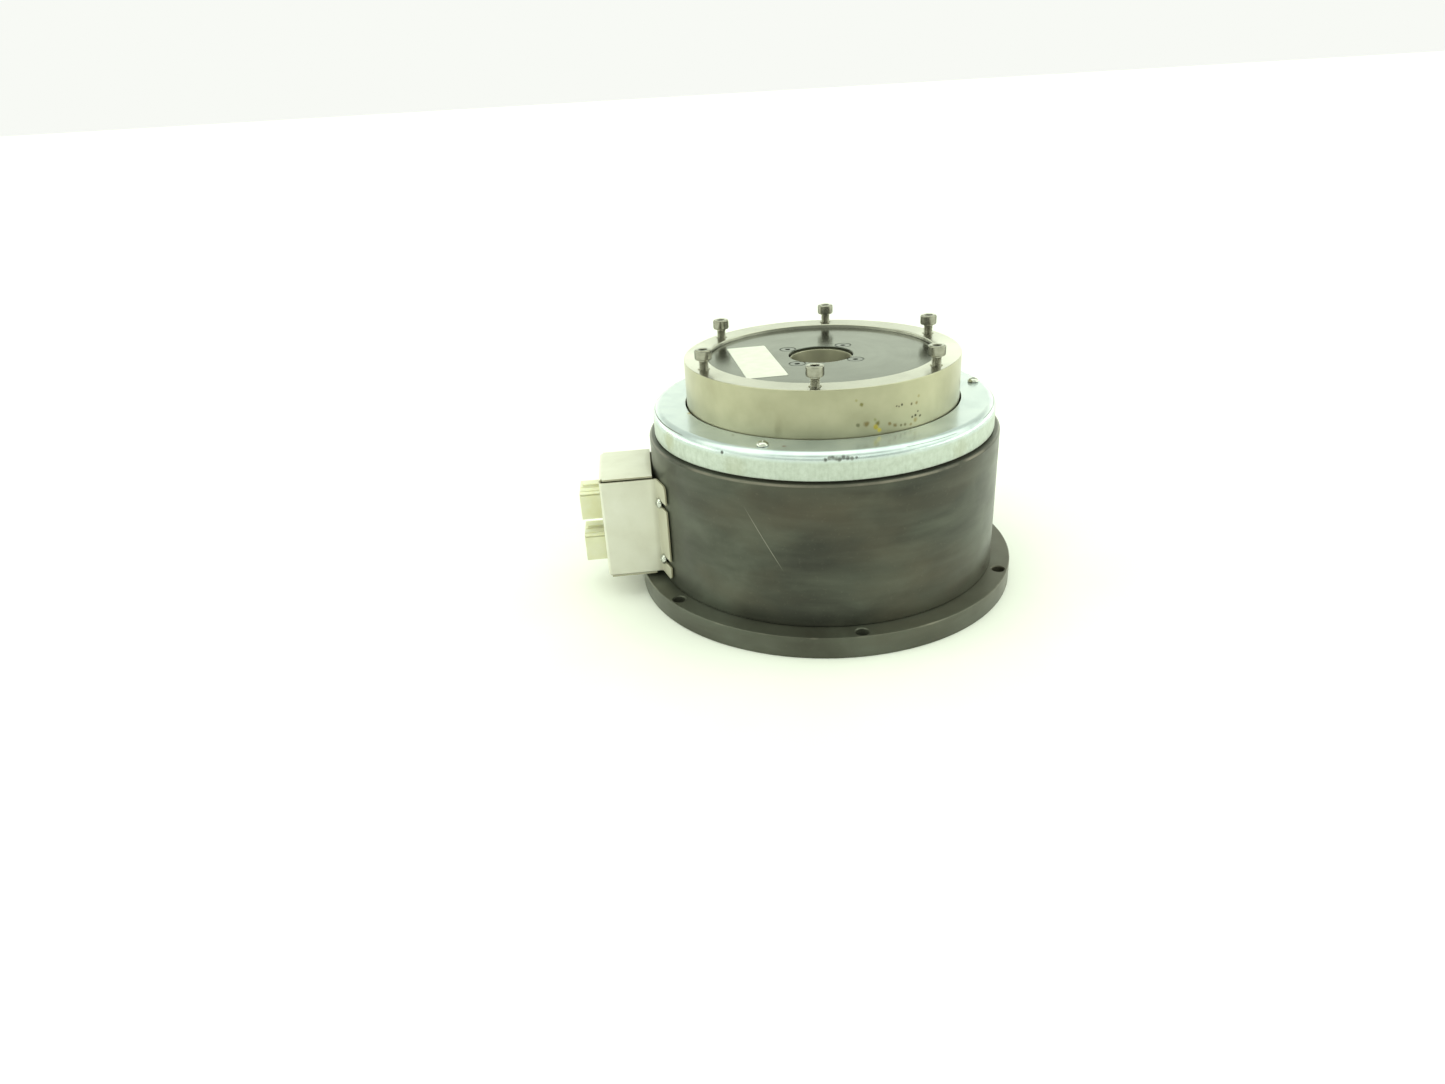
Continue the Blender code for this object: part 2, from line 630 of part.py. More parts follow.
def build_post(material):
    """Centre post that carries the inner stator, the bearing inner ring and the top disc."""
    outline = [(post_bore, post_top), (neck_radius, post_top), (neck_radius, bearing_top),
               (seat_radius, bearing_top), (seat_radius, seat_z), (seat_radius + SHOULDER_STEP, seat_z),
               (seat_radius + SHOULDER_STEP, lip_bottom), (seat_radius - SEAT_GAP, lip_bottom),
               (seat_radius - SEAT_GAP, stop_z), (post_radius, stop_z), (post_radius, floor_z),
               (post_bore, floor_z)]
    post = add_piece("centre_post", turned("centre_post", outline, HIDDEN_STEPS), material)
    low_end = post_screw_seat + BASE_SCREW_LENGTH + HOLE_SPARE
    low_hole = round_hole("post_foot", M5_RADIUS + SEAT_GAP, 0, low_end, SMALL_STEPS)
    high_end = disc_top - DISC_SCREW_LENGTH - HOLE_SPARE
    high_hole = round_hole("post_head", M4_RADIUS + SEAT_GAP, high_end, disc_top, SMALL_STEPS)
    for mesh, radius, angles in ((low_hole, post_screw_circle, post_screw_angles),
                                 (high_hole, disc_screw_circle, disc_screw_angles)):
        holes = copies(mesh.name + "_threads", mesh, on_circle(radius, angles))
        combine(post, add_cutter(mesh.name + "_threads", holes), "DIFFERENCE")


def build_sleeve(material):
    """Bore tube with a collar under the flange and a thinner neck through the disc."""
    collar_top = SEAT_GAP + COLLAR_HEIGHT
    neck_foot = disc_bottom - NECK_FOOT
    top = disc_top - SLEEVE_DROP
    neck = sleeve_radius - SEAT_GAP
    outline = [(BORE_RADIUS, top), (neck, top), (neck, neck_foot), (sleeve_radius, neck_foot),
               (sleeve_radius, collar_top), (collar_radius, collar_top), (collar_radius, SEAT_GAP),
               (BORE_RADIUS, SEAT_GAP)]
    add_piece("bore_sleeve", turned("bore_sleeve", outline, HIDDEN_STEPS), material)


def build_top_disc(material):
    """Fixed disc on the post, countersunk for its screws."""
    outline = [(sleeve_radius, disc_top), (disc_radius - EDGE_CHAMFER, disc_top),
               (disc_radius, disc_top - EDGE_CHAMFER), (disc_radius, disc_bottom),
               (sleeve_radius, disc_bottom)]
    disc = add_piece("top_disc", turned("top_disc", outline, SEEN_STEPS), material)
    sink = turned("sinks", sink_outline(M4_RADIUS, DISC_SCREW_LENGTH, SEAT_GAP, CUT_REACH), SCREW_STEPS)
    sinks = copies("sinks", sink, on_circle(disc_screw_circle, disc_screw_angles, disc_top))
    combine(disc, add_cutter("sinks", sinks), "DIFFERENCE")


def build_rotor_ring(material, rotor_frame):
    """Output ring with a shoulder under the bearing, threads for the load and for the tie bolts."""
    outline = [(ring_bore, ring_top - EDGE_CHAMFER), (ring_bore + EDGE_CHAMFER, ring_top),
               (ring_radius - EDGE_CHAMFER, ring_top), (ring_radius, ring_top - EDGE_CHAMFER),
               (ring_radius, ring_bottom), (ring_bore - RING_SEAT, ring_bottom),
               (ring_bore - RING_SEAT, seat_z), (ring_bore, seat_z)]
    ring = add_piece("rotor_ring", turned("rotor_ring", outline, SEEN_STEPS), material, rotor_frame)
    low = ring_top + RING_SCREW_STAND - RING_SCREW_LENGTH - HOLE_SPARE
    load = round_hole("load", M5_RADIUS + SEAT_GAP, low, ring_top + CUT_REACH)
    tie_end = ring_bottom + TIE_BOLT_GRIP + HOLE_SPARE
    tie = round_hole("tie", M3_RADIUS + SEAT_GAP, ring_bottom - CUT_REACH, tie_end, SMALL_STEPS)
    for mesh, radius, angles in ((load, ring_screw_circle, ring_screw_angles),
                                 (tie, tie_circle, tie_angles)):
        holes = copies(mesh.name + "_threads", mesh, on_circle(radius, angles))
        combine(ring, add_cutter(mesh.name + "_threads", holes, rotor_frame), "DIFFERENCE")


def inner_core_stations():
    """(angle, bore, outline radius) round the inner core, with straight poles pointing out."""
    root_radius = inner_core_bore + INNER_YOKE
    root = math.asin(INNER_POLE_WIDTH / 2 / root_radius)
    tip = math.asin(INNER_POLE_WIDTH / 2 / inner_core_radius)
    stations = []
    for angle in circle_angles(POLE_COUNT):
        for turn, radius in ((-root, root_radius), (-tip, inner_core_radius), (0, inner_core_radius),
                             (tip, inner_core_radius), (root, root_radius),
                             (math.pi / POLE_COUNT, root_radius)):
            stations.append((angle + turn, inner_core_bore, radius))
    return stations


def outer_core_stations():
    """(angle, outline radius, outside) round the outer core, with tapered poles pointing in."""
    root_radius = outer_core_radius - OUTER_YOKE
    root = POLE_HALF_ANGLE
    tip = POLE_HALF_ANGLE - POLE_TAPER
    stations = []
    for angle in circle_angles(POLE_COUNT):
        for turn, radius in ((-root, root_radius), (-tip, outer_core_bore), (0, outer_core_bore),
                             (tip, outer_core_bore), (root, root_radius),
                             (math.pi / POLE_COUNT, root_radius)):
            stations.append((angle + turn, radius, outer_core_radius))
    return stations


def coil_loop(near, far, hole_half, half):
    """One coil round a pole on +X, between two distances from the axis."""
    bm = bmesh.new()
    rims = []
    for x in (near, far):
        for wide, low, high in ((hole_half, core_bottom - SEAT_GAP, core_top + SEAT_GAP),
                                (half, winding_bottom, winding_top)):
            corners = ((-wide, low), (wide, low), (wide, high), (-wide, high))
            rims.append([bm.verts.new((x, y, z)) for y, z in corners])
    inner_near, outer_near, inner_far, outer_far = rims
    for one, other in ((inner_near, outer_near), (outer_near, outer_far),
                       (outer_far, inner_far), (inner_far, inner_near)):
        for k in range(4):
            after = (k + 1) % 4
            bm.faces.new((one[k], one[after], other[after], other[k]))
    return finish_mesh(bm, "coil")


def build_winding(name, near, far_corner, hole_half, material):
    """Coils on every pole, joined by the bus ring under them that links their ends."""
    half = near * math.tan(math.pi / POLE_COUNT) - COIL_GAP / 2
    far = math.sqrt(far_corner ** 2 - half ** 2)
    middle = (near + far) / 2
    inner = middle - BUS_WIDTH / 2
    outer = middle + BUS_WIDTH / 2
    outline = [(inner, bus_top), (outer, bus_top), (outer, bus_bottom), (inner, bus_bottom)]
    winding = add_piece(name, turned(name, outline, HIDDEN_STEPS), material)
    coil = coil_loop(near, far, hole_half, half)
    coils = copies(name + "_coils", coil, on_circle(0.0, circle_angles(POLE_COUNT)))
    combine(winding, add_cutter(name + "_coils", coils), "UNION")


def build_spacer(name, inner, outer, material):
    """Plain ring that holds a core above the flange."""
    top = core_bottom - SEAT_GAP
    outline = [(inner, top), (outer, top), (outer, floor_z), (inner, floor_z)]
    return add_piece(name, turned(name, outline, HIDDEN_STEPS), material)


def build_stators(iron, copper, steel, box_frame):
    inner_core = ring_prism("inner_stator_core", inner_core_stations(), core_bottom, core_top)
    add_piece("inner_stator_core", inner_core, iron)
    outer_core = ring_prism("outer_stator_core", outer_core_stations(), core_bottom, core_top)
    add_piece("outer_stator_core", outer_core, iron)
    root_radius = outer_core_radius - OUTER_YOKE
    build_winding("inner_stator_winding", inner_core_bore + INNER_YOKE + SEAT_GAP,
                  inner_core_radius - COIL_INSET, INNER_POLE_WIDTH / 2 + SEAT_GAP, copper)
    build_winding("outer_stator_winding", outer_core_bore + COIL_INSET, root_radius - COIL_INSET,
                  root_radius * math.sin(POLE_HALF_ANGLE) + SEAT_GAP, copper)
    build_spacer("inner_stator_spacer", inner_core_bore, spacer_radius, steel)
    outer_spacer = build_spacer("outer_stator_spacer", outer_core_radius - SPACER_WALL,
                                outer_core_radius, steel)
    way = round_hole("spacer_way", GROMMET_RADIUS + 2 * SEAT_GAP,
                     outer_core_radius - SPACER_WALL - CUT_REACH, outer_core_radius + CUT_REACH)
    way.transform(Matrix.Translation((0, 0, grommet_z)) @ Matrix.Rotation(math.pi / 2, 4, "Y"))
    combine(outer_spacer, add_cutter("spacer_way", way, box_frame), "DIFFERENCE")


def rotor_stations():
    """(angle, inner, outer) round the rotor sleeve, toothed inside and outside."""
    pitch = 2 * math.pi / TOOTH_COUNT
    tooth = TOOTH_SHARE * pitch
    flank = FLANK_SHARE * pitch
    stations = []
    for angle in circle_angles(TOOTH_COUNT):
        for turn, depth in ((0, 0), (tooth, 0), (tooth + flank, TOOTH_DEPTH), (pitch - flank, TOOTH_DEPTH)):
            stations.append((angle + turn, rotor_bore + depth, rotor_radius - depth))
    return stations


def build_rotor(iron, steel, rotor_frame):
    """Toothed sleeve, its end ring and the resolver rotor, hung on the output ring by tie bolts."""
    sleeve_mesh = ring_prism("rotor_core", rotor_stations(), rotor_bottom, rotor_top)
    core = add_piece("rotor_core", sleeve_mesh, iron, rotor_frame)
    inner = rotor_bore + END_RING_INSET
    outer = rotor_radius - END_RING_INSET
    outline = [(inner, end_ring_top), (outer, end_ring_top), (outer, end_ring_bottom),
               (inner, end_ring_bottom)]
    end_mesh = turned("rotor_end_ring", outline, HIDDEN_STEPS)
    end_ring = add_piece("rotor_end_ring", end_mesh, steel, rotor_frame)
    low = end_ring_bottom - CUT_REACH
    shank = M3_RADIUS + SEAT_GAP
    core_hole = round_hole("core_ties", shank, low, rotor_top + CUT_REACH, SMALL_STEPS)
    ring_hole = stepped_hole("end_ring_ties", CAP_HEAD * M3_RADIUS + SEAT_GAP, shank, low,
                             tie_seat + HEAD_GAP, end_ring_top + CUT_REACH)
    for piece, mesh in ((core, core_hole), (end_ring, ring_hole)):
        holes = copies(mesh.name, mesh, on_circle(tie_circle, tie_angles))
        combine(piece, add_cutter(mesh.name, holes, rotor_frame), "DIFFERENCE")
    resolver_inner = rotor_bore - RESOLVER_STEP
    low = resolver_top - RESOLVER_HEIGHT
    outline = [(resolver_inner, resolver_top), (outer, resolver_top), (outer, low), (resolver_inner, low)]
    add_piece("resolver_rotor", turned("resolver_rotor", outline, HIDDEN_STEPS), iron, rotor_frame)


def build_resolver_stator(iron):
    inner = spacer_radius + RESOLVER_CLEARANCE
    top = bus_bottom - RESOLVER_HEADROOM
    outline = [(inner, top), (resolver_radius, top), (resolver_radius, floor_z), (inner, floor_z)]
    add_piece("resolver_stator", turned("resolver_stator", outline, HIDDEN_STEPS), iron)


def build_bearing(steel, rotor_frame, roller_frame):
    """Crossed-roller bearing: two rings with a square raceway, and the rollers on their spacers."""
    middle = (bearing_bottom + bearing_top) / 2
    groove = (ROLLER_RADIUS + ROLLER_GAP) * math.sqrt(2)
    face = RACE_GAP / 2
    inner_face = roller_circle - face
    outer_face = roller_circle + face
    mouth = groove - face
    inner = [(bearing_bore, bearing_top), (inner_face, bearing_top), (inner_face, middle + mouth),
             (roller_circle - groove, middle), (inner_face, middle - mouth), (inner_face, bearing_bottom),
             (bearing_bore, bearing_bottom)]
    outer = [(outer_face, bearing_top), (bearing_radius, bearing_top), (bearing_radius, bearing_bottom),
             (outer_face, bearing_bottom), (outer_face, middle - mouth), (roller_circle + groove, middle),
             (outer_face, middle + mouth)]
    add_piece("bearing_inner_ring", turned("bearing_inner_ring", inner, HIDDEN_STEPS), steel)
    add_piece("bearing_outer_ring", turned("bearing_outer_ring", outer, HIDDEN_STEPS), steel, rotor_frame)
    cage = [(roller_circle, middle + CAGE_HALF), (roller_circle + CAGE_HALF, middle),
            (roller_circle, middle - CAGE_HALF), (roller_circle - CAGE_HALF, middle)]
    train = add_piece("bearing_roller_train", turned("bearing_roller_train", cage, HIDDEN_STEPS), steel,
                      roller_frame)
    roller_half = ROLLER_RADIUS - ROLLER_SHORT / 2
    roller = round_hole("roller", ROLLER_RADIUS, -roller_half, roller_half, SMALL_STEPS)
    places = []
    for number, place in enumerate(on_circle(roller_circle, circle_angles(ROLLER_COUNT), middle)):
        tilt = math.pi / 4 if number % 2 else -math.pi / 4
        places.append(place @ Matrix.Rotation(tilt, 4, "Y"))
    rollers = copies("rollers", roller, places)
    combine(train, add_cutter("rollers", rollers, roller_frame), "UNION")


def build_lock_nut(name, inner, outer, slot_at, material, parent):
    """Slotted ring that clamps a bearing ring."""
    outline = [(inner, nut_top), (outer, nut_top), (outer, nut_bottom), (inner, nut_bottom)]
    nut = add_piece(name, turned(name, outline, HIDDEN_STEPS), material, parent)
    slot = block("slot", (slot_at - SLOT_DEPTH, -SLOT_WIDTH / 2, nut_bottom - CUT_REACH),
                 (slot_at + SLOT_DEPTH, SLOT_WIDTH / 2, nut_top + CUT_REACH))
    slots = copies(name + "_slots", slot, on_circle(0.0, circle_angles(SPANNER_SLOTS)))
    combine(nut, add_cutter(name + "_slots", slots, parent), "DIFFERENCE")


def box_outline():
    """Plan of the box's bent sheet: front wall, two side walls and their outward tabs."""
    sine = math.sin(tab_turn)
    cosine = math.cos(tab_turn)
    inside = BOX_HALF_WIDTH - BOX_SHEET
    outer_foot = (tab_plane + BOX_SHEET - BOX_HALF_WIDTH * sine) / cosine
    inner_foot = (tab_plane - inside * sine) / cosine
    tab_end = tab_start + TAB_WIDTH
    tight = BOX_BEND - BOX_SHEET
    half = [(tab_place(1, tab_plane, tab_end).to_2d(), 0.0),
            (tab_place(1, tab_plane + BOX_SHEET, tab_end).to_2d(), 0.0),
            (Vector((outer_foot, BOX_HALF_WIDTH)), tight), (Vector((box_front, BOX_HALF_WIDTH)), BOX_BEND)]
    back = [(Vector((box_front - BOX_SHEET, inside)), tight), (Vector((inner_foot, inside)), BOX_BEND)]
    mirror = [(Vector((point.x, -point.y)), radius) for point, radius in half[::-1]]
    mirror += [(Vector((point.x, -point.y)), radius) for point, radius in back[::-1]]
    corners = half + mirror + back
    return rounded([tuple(point) for point, _ in corners], [radius for _, radius in corners])


def build_box(material, box_frame):
    """Bent sheet box with loose top and bottom flaps, connector windows and open-ended screw slots."""
    mesh = prism("connector_box", box_outline(), wall_bottom, wall_top)
    box = add_piece("connector_box", mesh, material, box_frame)
    top_back = shell_radius + BOX_BACK_GAP
    bottom_back = shell_radius + GROMMET_HEAD + 2 * SEAT_GAP
    flap_front = box_front - FLAP_INSET
    leg_half = BOX_HALF_WIDTH - BOX_BEND
    legs = []
    flaps = []
    for edge, way, flap_back in ((wall_top, 1, top_back), (wall_bottom, -1, bottom_back)):
        near = edge + way * SEAT_GAP
        far = near + way * BOX_SHEET
        flaps.append(block("flap", (flap_back, -BOX_HALF_WIDTH, min(near, far)),
                           (flap_front, BOX_HALF_WIDTH, max(near, far))))
        root = edge - way * FLAP_LAP
        tip = (near + far) / 2
        legs.append(block("leg", (box_front - BOX_SHEET + FLAP_INSET, -leg_half, min(root, tip)),
                          (flap_front - FLAP_INSET, leg_half, max(root, tip))))
    for name, meshes in (("box_legs", legs), ("box_flaps", flaps)):
        bm = bmesh.new()
        for mesh in meshes:
            bm.from_mesh(mesh)
        combine(box, add_cutter(name, finish_mesh(bm, name), box_frame), "UNION")
    windows = bmesh.new()
    wide = CONNECTOR_WIDTH / 2 + SEAT_GAP
    tall = CONNECTOR_HEIGHT / 2 + SEAT_GAP
    for height in (power_z, signal_z):
        windows.from_mesh(block("window", (box_front - BOX_SHEET - CUT_REACH, -wide, height - tall),
                                (box_front + CUT_REACH, wide, height + tall)))
    combine(box, add_cutter("windows", finish_mesh(windows, "windows"), box_frame), "DIFFERENCE")
    slots = bmesh.new()
    half = M3_RADIUS + SEAT_GAP
    for side in (1, -1):
        ends = sorted((side * (tab_screw_along - half), side * (tab_start + TAB_WIDTH + CUT_REACH)))
        for height in tab_screw_heights:
            slot = block("slot", (tab_plane - CUT_REACH, ends[0], height - half),
                         (tab_plane + BOX_SHEET + CUT_REACH, ends[1], height + half))
            slot.transform(Matrix.Rotation(side * tab_turn, 4, "Z"))
            slots.from_mesh(slot)
    combine(box, add_cutter("tab_slots", finish_mesh(slots, "tab_slots"), box_frame), "DIFFERENCE")


def build_connector(name, height, material, box_frame):
    """Moulded receptacle: body through the window, flange behind the wall, ribs on top, open shroud."""
    wide = CONNECTOR_WIDTH / 2
    tall = CONNECTOR_HEIGHT / 2
    tip = box_front + CONNECTOR_REACH
    wall_back = box_front - BOX_SHEET
    mesh = block(name, (wall_back - CONNECTOR_TAIL, -wide, height - tall), (tip, wide, height + tall))
    body = add_piece(name, mesh, material, box_frame)
    extras = bmesh.new()
    rim = CONNECTOR_RIM
    flange_front = wall_back - SEAT_GAP
    extras.from_mesh(block("flange", (flange_front - CONNECTOR_FLANGE, -wide - rim, height - tall - rim),
                           (flange_front, wide + rim, height + tall + rim)))
    for number in range(RIB_COUNT):
        middle = (number - (RIB_COUNT - 1) / 2) * CONNECTOR_WIDTH / (RIB_COUNT + 1)
        rib_low = (box_front + RIB_WIDTH, middle - RIB_WIDTH / 2, height + tall - RIB_LAP)
        rib_high = (tip - RIB_WIDTH, middle + RIB_WIDTH / 2, height + tall + RIB_HEIGHT)
        extras.from_mesh(block("rib", rib_low, rib_high))
    combine(body, add_cutter(name + "_extras", finish_mesh(extras, name + "_extras"), box_frame), "UNION")
    cavity = block("cavity", (tip - CONNECTOR_CAVITY, -wide + CONNECTOR_WALL, height - tall + CONNECTOR_WALL),
                   (tip + CUT_REACH, wide - CONNECTOR_WALL, height + tall - CONNECTOR_WALL))
    combine(body, add_cutter(name + "_cavity", cavity, box_frame), "DIFFERENCE")


def lead_route(start_z, outside, inside):
    """A lead's (x, z) points in the box's frame: down from its connector, through the grommet and in."""
    start = box_front - BOX_SHEET - CONNECTOR_TAIL - SEAT_GAP
    route = [(start, start_z)]
    route += [(shell_radius + out, grommet_z + up) for out, up in outside]
    route += [(shell_radius + LEAD_STRAIGHT, grommet_z), (shell_screw_circle, grommet_z),
              (shell_bore - LEAD_STRAIGHT, grommet_z)]
    return route + [(shell_bore - back, grommet_z + up) for back, up in inside]


def build_leads(rubber, insulation, box_frame):
    """Grommet in the shell, and the two leads that run through it from the connectors."""
    head = shell_radius + SEAT_GAP
    wide = GROMMET_RADIUS + GROMMET_RIM
    outline = [(0, head + GROMMET_HEAD), (wide, head + GROMMET_HEAD), (wide, head), (GROMMET_RADIUS, head),
               (GROMMET_RADIUS, shell_bore - GROMMET_TAIL), (0, shell_bore - GROMMET_TAIL)]
    mesh = turned("lead_grommet", outline, SCREW_STEPS)
    lay = Matrix.Translation((0, 0, grommet_z)) @ Matrix.Rotation(math.pi / 2, 4, "Y")
    mesh.transform(lay)
    grommet = add_piece("lead_grommet", mesh, rubber, box_frame)
    ways = bmesh.new()
    for side, radius in ((-LEAD_SPREAD, POWER_LEAD_RADIUS), (LEAD_SPREAD, SIGNAL_LEAD_RADIUS)):
        way = round_hole("way", radius + SEAT_GAP, shell_bore - GROMMET_TAIL - CUT_REACH,
                         head + GROMMET_HEAD + CUT_REACH, SMALL_STEPS)
        way.transform(Matrix.Translation((0, side, 0)) @ lay)
        ways.from_mesh(way)
    combine(grommet, add_cutter("lead_ways", finish_mesh(ways, "lead_ways"), box_frame), "DIFFERENCE")
    power = lead_route(power_z, POWER_OUTSIDE, POWER_INSIDE)
    signal = lead_route(signal_z, SIGNAL_OUTSIDE, SIGNAL_INSIDE)
    lead_z = floor_z + SIGNAL_LEAD_RADIUS + LEAD_FLOOR_GAP
    signal += [(resolver_radius + SIGNAL_RUN_IN, lead_z), (resolver_radius + SEAT_GAP, lead_z)]
    for name, route, side, radius in (("power_lead", power, -LEAD_SPREAD, POWER_LEAD_RADIUS),
                                      ("signal_lead", signal, LEAD_SPREAD, SIGNAL_LEAD_RADIUS)):
        add_lead(name, [(x, side, z) for x, z in route], radius, insulation, box_frame)


def build_screws(bright, dark, box_frame, rotor_frame):
    ring_screw = cap_screw("ring_screw", M5_RADIUS, RING_SCREW_LENGTH, SCREW_STEPS)
    numbered("rotor_ring_screw", ring_screw, bright,
             upright(ring_screw_circle, ring_screw_angles, ring_top + RING_SCREW_STAND), rotor_frame)
    cover_screw = pan_screw("cover_screw", M3_RADIUS, COVER_SCREW_LENGTH)
    numbered("dust_cover_screw", cover_screw, bright,
             upright(cover_screw_circle, cover_screw_angles, cover_top + HEAD_GAP))
    disc_screw = sink_screw("disc_screw", M4_RADIUS, DISC_SCREW_LENGTH)
    numbered("top_disc_screw", disc_screw, dark, upright(disc_screw_circle, disc_screw_angles, disc_top))
    box_screw = pan_screw("box_screw", M3_RADIUS, BOX_SCREW_LENGTH)
    numbered("box_screw", box_screw, bright, tab_screw_places(tab_plane + BOX_SHEET + HEAD_GAP), box_frame)
    post_screw = cap_screw("post_screw", M5_RADIUS, BASE_SCREW_LENGTH, SMALL_STEPS)
    numbered("post_screw", post_screw, dark, upturned(post_screw_circle, post_screw_angles, post_screw_seat))
    shell_screw = cap_screw("shell_screw", M4_RADIUS, BASE_SCREW_LENGTH, SMALL_STEPS)
    numbered("shell_screw", shell_screw, dark,
             upturned(shell_screw_circle, shell_screw_angles, shell_screw_seat))
    tie_bolt = cap_screw("tie_bolt", M3_RADIUS, ring_bottom + TIE_BOLT_GRIP - tie_seat, SMALL_STEPS)
    numbered("rotor_tie_bolt", tie_bolt, dark, upturned(tie_circle, tie_angles, tie_seat), rotor_frame)


def build_motor():
    for old in list(bpy.data.objects):
        bpy.data.objects.remove(old, do_unlink=True)
    blackened = make_material("blackened_steel", (0.060, 0.058, 0.052), 0.75, 0.42)
    stainless = make_material("brushed_stainless", (0.56, 0.54, 0.48), 1.0, 0.32)
    zinc = make_material("zinc_plate", (0.60, 0.65, 0.61), 1.0, 0.30)
    dark_disc = make_material("black_oxide_disc", (0.070, 0.074, 0.076), 0.8, 0.35)
    painted = make_material("painted_sheet", (0.72, 0.72, 0.62), 0.0, 0.45)
    nylon = make_material("natural_nylon", (0.80, 0.79, 0.60), 0.0, 0.40)
    screw_steel = make_material("screw_steel", (0.55, 0.54, 0.50), 1.0, 0.28)
    dark_screw = make_material("black_screw_steel", (0.05, 0.05, 0.05), 0.8, 0.40)
    iron = make_material("core_iron", (0.22, 0.22, 0.23), 0.9, 0.50)
    copper = make_material("enamelled_copper", (0.55, 0.22, 0.09), 0.6, 0.40)
    bearing_steel = make_material("bearing_steel", (0.62, 0.62, 0.63), 1.0, 0.20)
    rubber = make_material("black_rubber", (0.03, 0.03, 0.03), 0.0, 0.70)
    insulation = make_material("lead_insulation", (0.10, 0.10, 0.10), 0.0, 0.55)
    rotor_frame = add_frame("rotor_axis")
    roller_frame = add_frame("roller_axis")
    box_frame = add_frame("box_axis", math.pi)
    build_base(blackened)
    build_shell(blackened, box_frame)
    build_dust_cover(zinc)
    build_post(blackened)
    build_sleeve(stainless)
    build_top_disc(dark_disc)
    build_rotor_ring(stainless, rotor_frame)
    build_stators(iron, copper, bearing_steel, box_frame)
    build_rotor(iron, bearing_steel, rotor_frame)
    build_resolver_stator(iron)
    build_bearing(bearing_steel, rotor_frame, roller_frame)
    build_lock_nut("inner_lock_nut", neck_radius + SEAT_GAP, roller_circle - NUT_WIDTH,
                   roller_circle - NUT_WIDTH, dark_screw, None)
    build_lock_nut("outer_lock_nut", bearing_radius - NUT_WIDTH, bearing_radius,
                   bearing_radius - NUT_WIDTH, dark_screw, rotor_frame)
    build_box(painted, box_frame)
    build_connector("power_connector", power_z, nylon, box_frame)
    build_connector("signal_connector", signal_z, nylon, box_frame)
    build_leads(rubber, insulation, box_frame)
    build_screws(screw_steel, dark_screw, box_frame, rotor_frame)


build_motor()
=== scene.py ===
import json
import math
from functools import partial

import bmesh
import bpy
from mathutils import Matrix, Vector


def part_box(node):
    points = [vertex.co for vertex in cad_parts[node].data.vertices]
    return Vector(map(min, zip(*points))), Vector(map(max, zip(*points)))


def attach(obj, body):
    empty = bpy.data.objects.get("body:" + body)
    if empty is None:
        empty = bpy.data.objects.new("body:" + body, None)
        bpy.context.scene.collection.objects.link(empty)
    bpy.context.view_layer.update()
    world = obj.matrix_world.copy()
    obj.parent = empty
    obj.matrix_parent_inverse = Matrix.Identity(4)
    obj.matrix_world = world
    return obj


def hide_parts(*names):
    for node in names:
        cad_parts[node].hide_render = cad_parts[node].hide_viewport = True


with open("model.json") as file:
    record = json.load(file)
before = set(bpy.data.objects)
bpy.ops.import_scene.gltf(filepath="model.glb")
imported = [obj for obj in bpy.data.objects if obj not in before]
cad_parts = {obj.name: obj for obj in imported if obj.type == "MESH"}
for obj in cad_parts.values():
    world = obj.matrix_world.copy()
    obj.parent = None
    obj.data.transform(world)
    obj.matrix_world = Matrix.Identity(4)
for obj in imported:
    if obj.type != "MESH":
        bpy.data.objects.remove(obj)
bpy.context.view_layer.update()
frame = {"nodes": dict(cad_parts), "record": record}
mm = 0.001


# camera, at the photograph's angle, for its 1445 x 1084 frame, whose size is not set here
camera = {
    "place": (-0.0942, -0.4844, 0.2518),
    "right": (0.99358, -0.09941, -0.0533),
    "up": (0.09094, 0.42646, 0.89986),
    "lens": 23.285,
    "sensor": 36.0,
}
cameraRight = Vector(camera["right"]).normalized()
cameraUp = Vector(camera["up"]).normalized()
cameraData = bpy.data.cameras.new("studioCamera")
cameraData.sensor_fit = "HORIZONTAL"
cameraData.sensor_width = camera["sensor"]
cameraData.lens = camera["lens"]
cameraData.clip_start = 0.01
cameraData.clip_end = 2000.0
studioCamera = bpy.data.objects.new("studioCamera", cameraData)
axes = Matrix((cameraRight, cameraUp, cameraRight.cross(cameraUp))).transposed()
studioCamera.matrix_world = Matrix.Translation(camera["place"]) @ axes.to_4x4()
bpy.context.scene.collection.objects.link(studioCamera)
bpy.context.scene.camera = studioCamera
bpy.context.scene.view_settings.view_transform = "Standard"
print("camera set")


# colours and nodes

def toLinear(hexText):
    channels = [int(hexText[k:k + 2], 16) / 255 for k in (1, 3, 5)]
    linear = [c / 12.92 if c <= 0.04045 else ((c + 0.055) / 1.055) ** 2.4 for c in channels]
    return (*linear, 1.0)


# adds one node; a link is a node, a socket or a value, and stops are a ramp's (place, colour or brightness)
def addNode(tree, kind, links=None, stops=None, **settings):
    node = tree.nodes.new("ShaderNode" + kind)
    for name, value in settings.items():
        setattr(node, name, value)
    for name, value in (links or {}).items():
        if isinstance(value, bpy.types.Node):
            value = next(socket for socket in value.outputs if socket.enabled)
        if isinstance(value, bpy.types.NodeSocket):
            tree.links.new(value, node.inputs[name])
        else:
            node.inputs[name].default_value = value
    for k, (place, tone) in enumerate(stops or []):
        if k >= len(node.color_ramp.elements):
            node.color_ramp.elements.new(place)
        stop = node.color_ramp.elements[k]
        stop.position = place
        stop.color = toLinear(tone) if isinstance(tone, str) else (tone, tone, tone, 1)
    return node


# a new finish, with addNode bound to its tree
def startFinish(name):
    finish = bpy.data.materials.new(name)
    finish.use_nodes = True
    finish.node_tree.nodes.clear()
    return finish, partial(addNode, finish.node_tree)


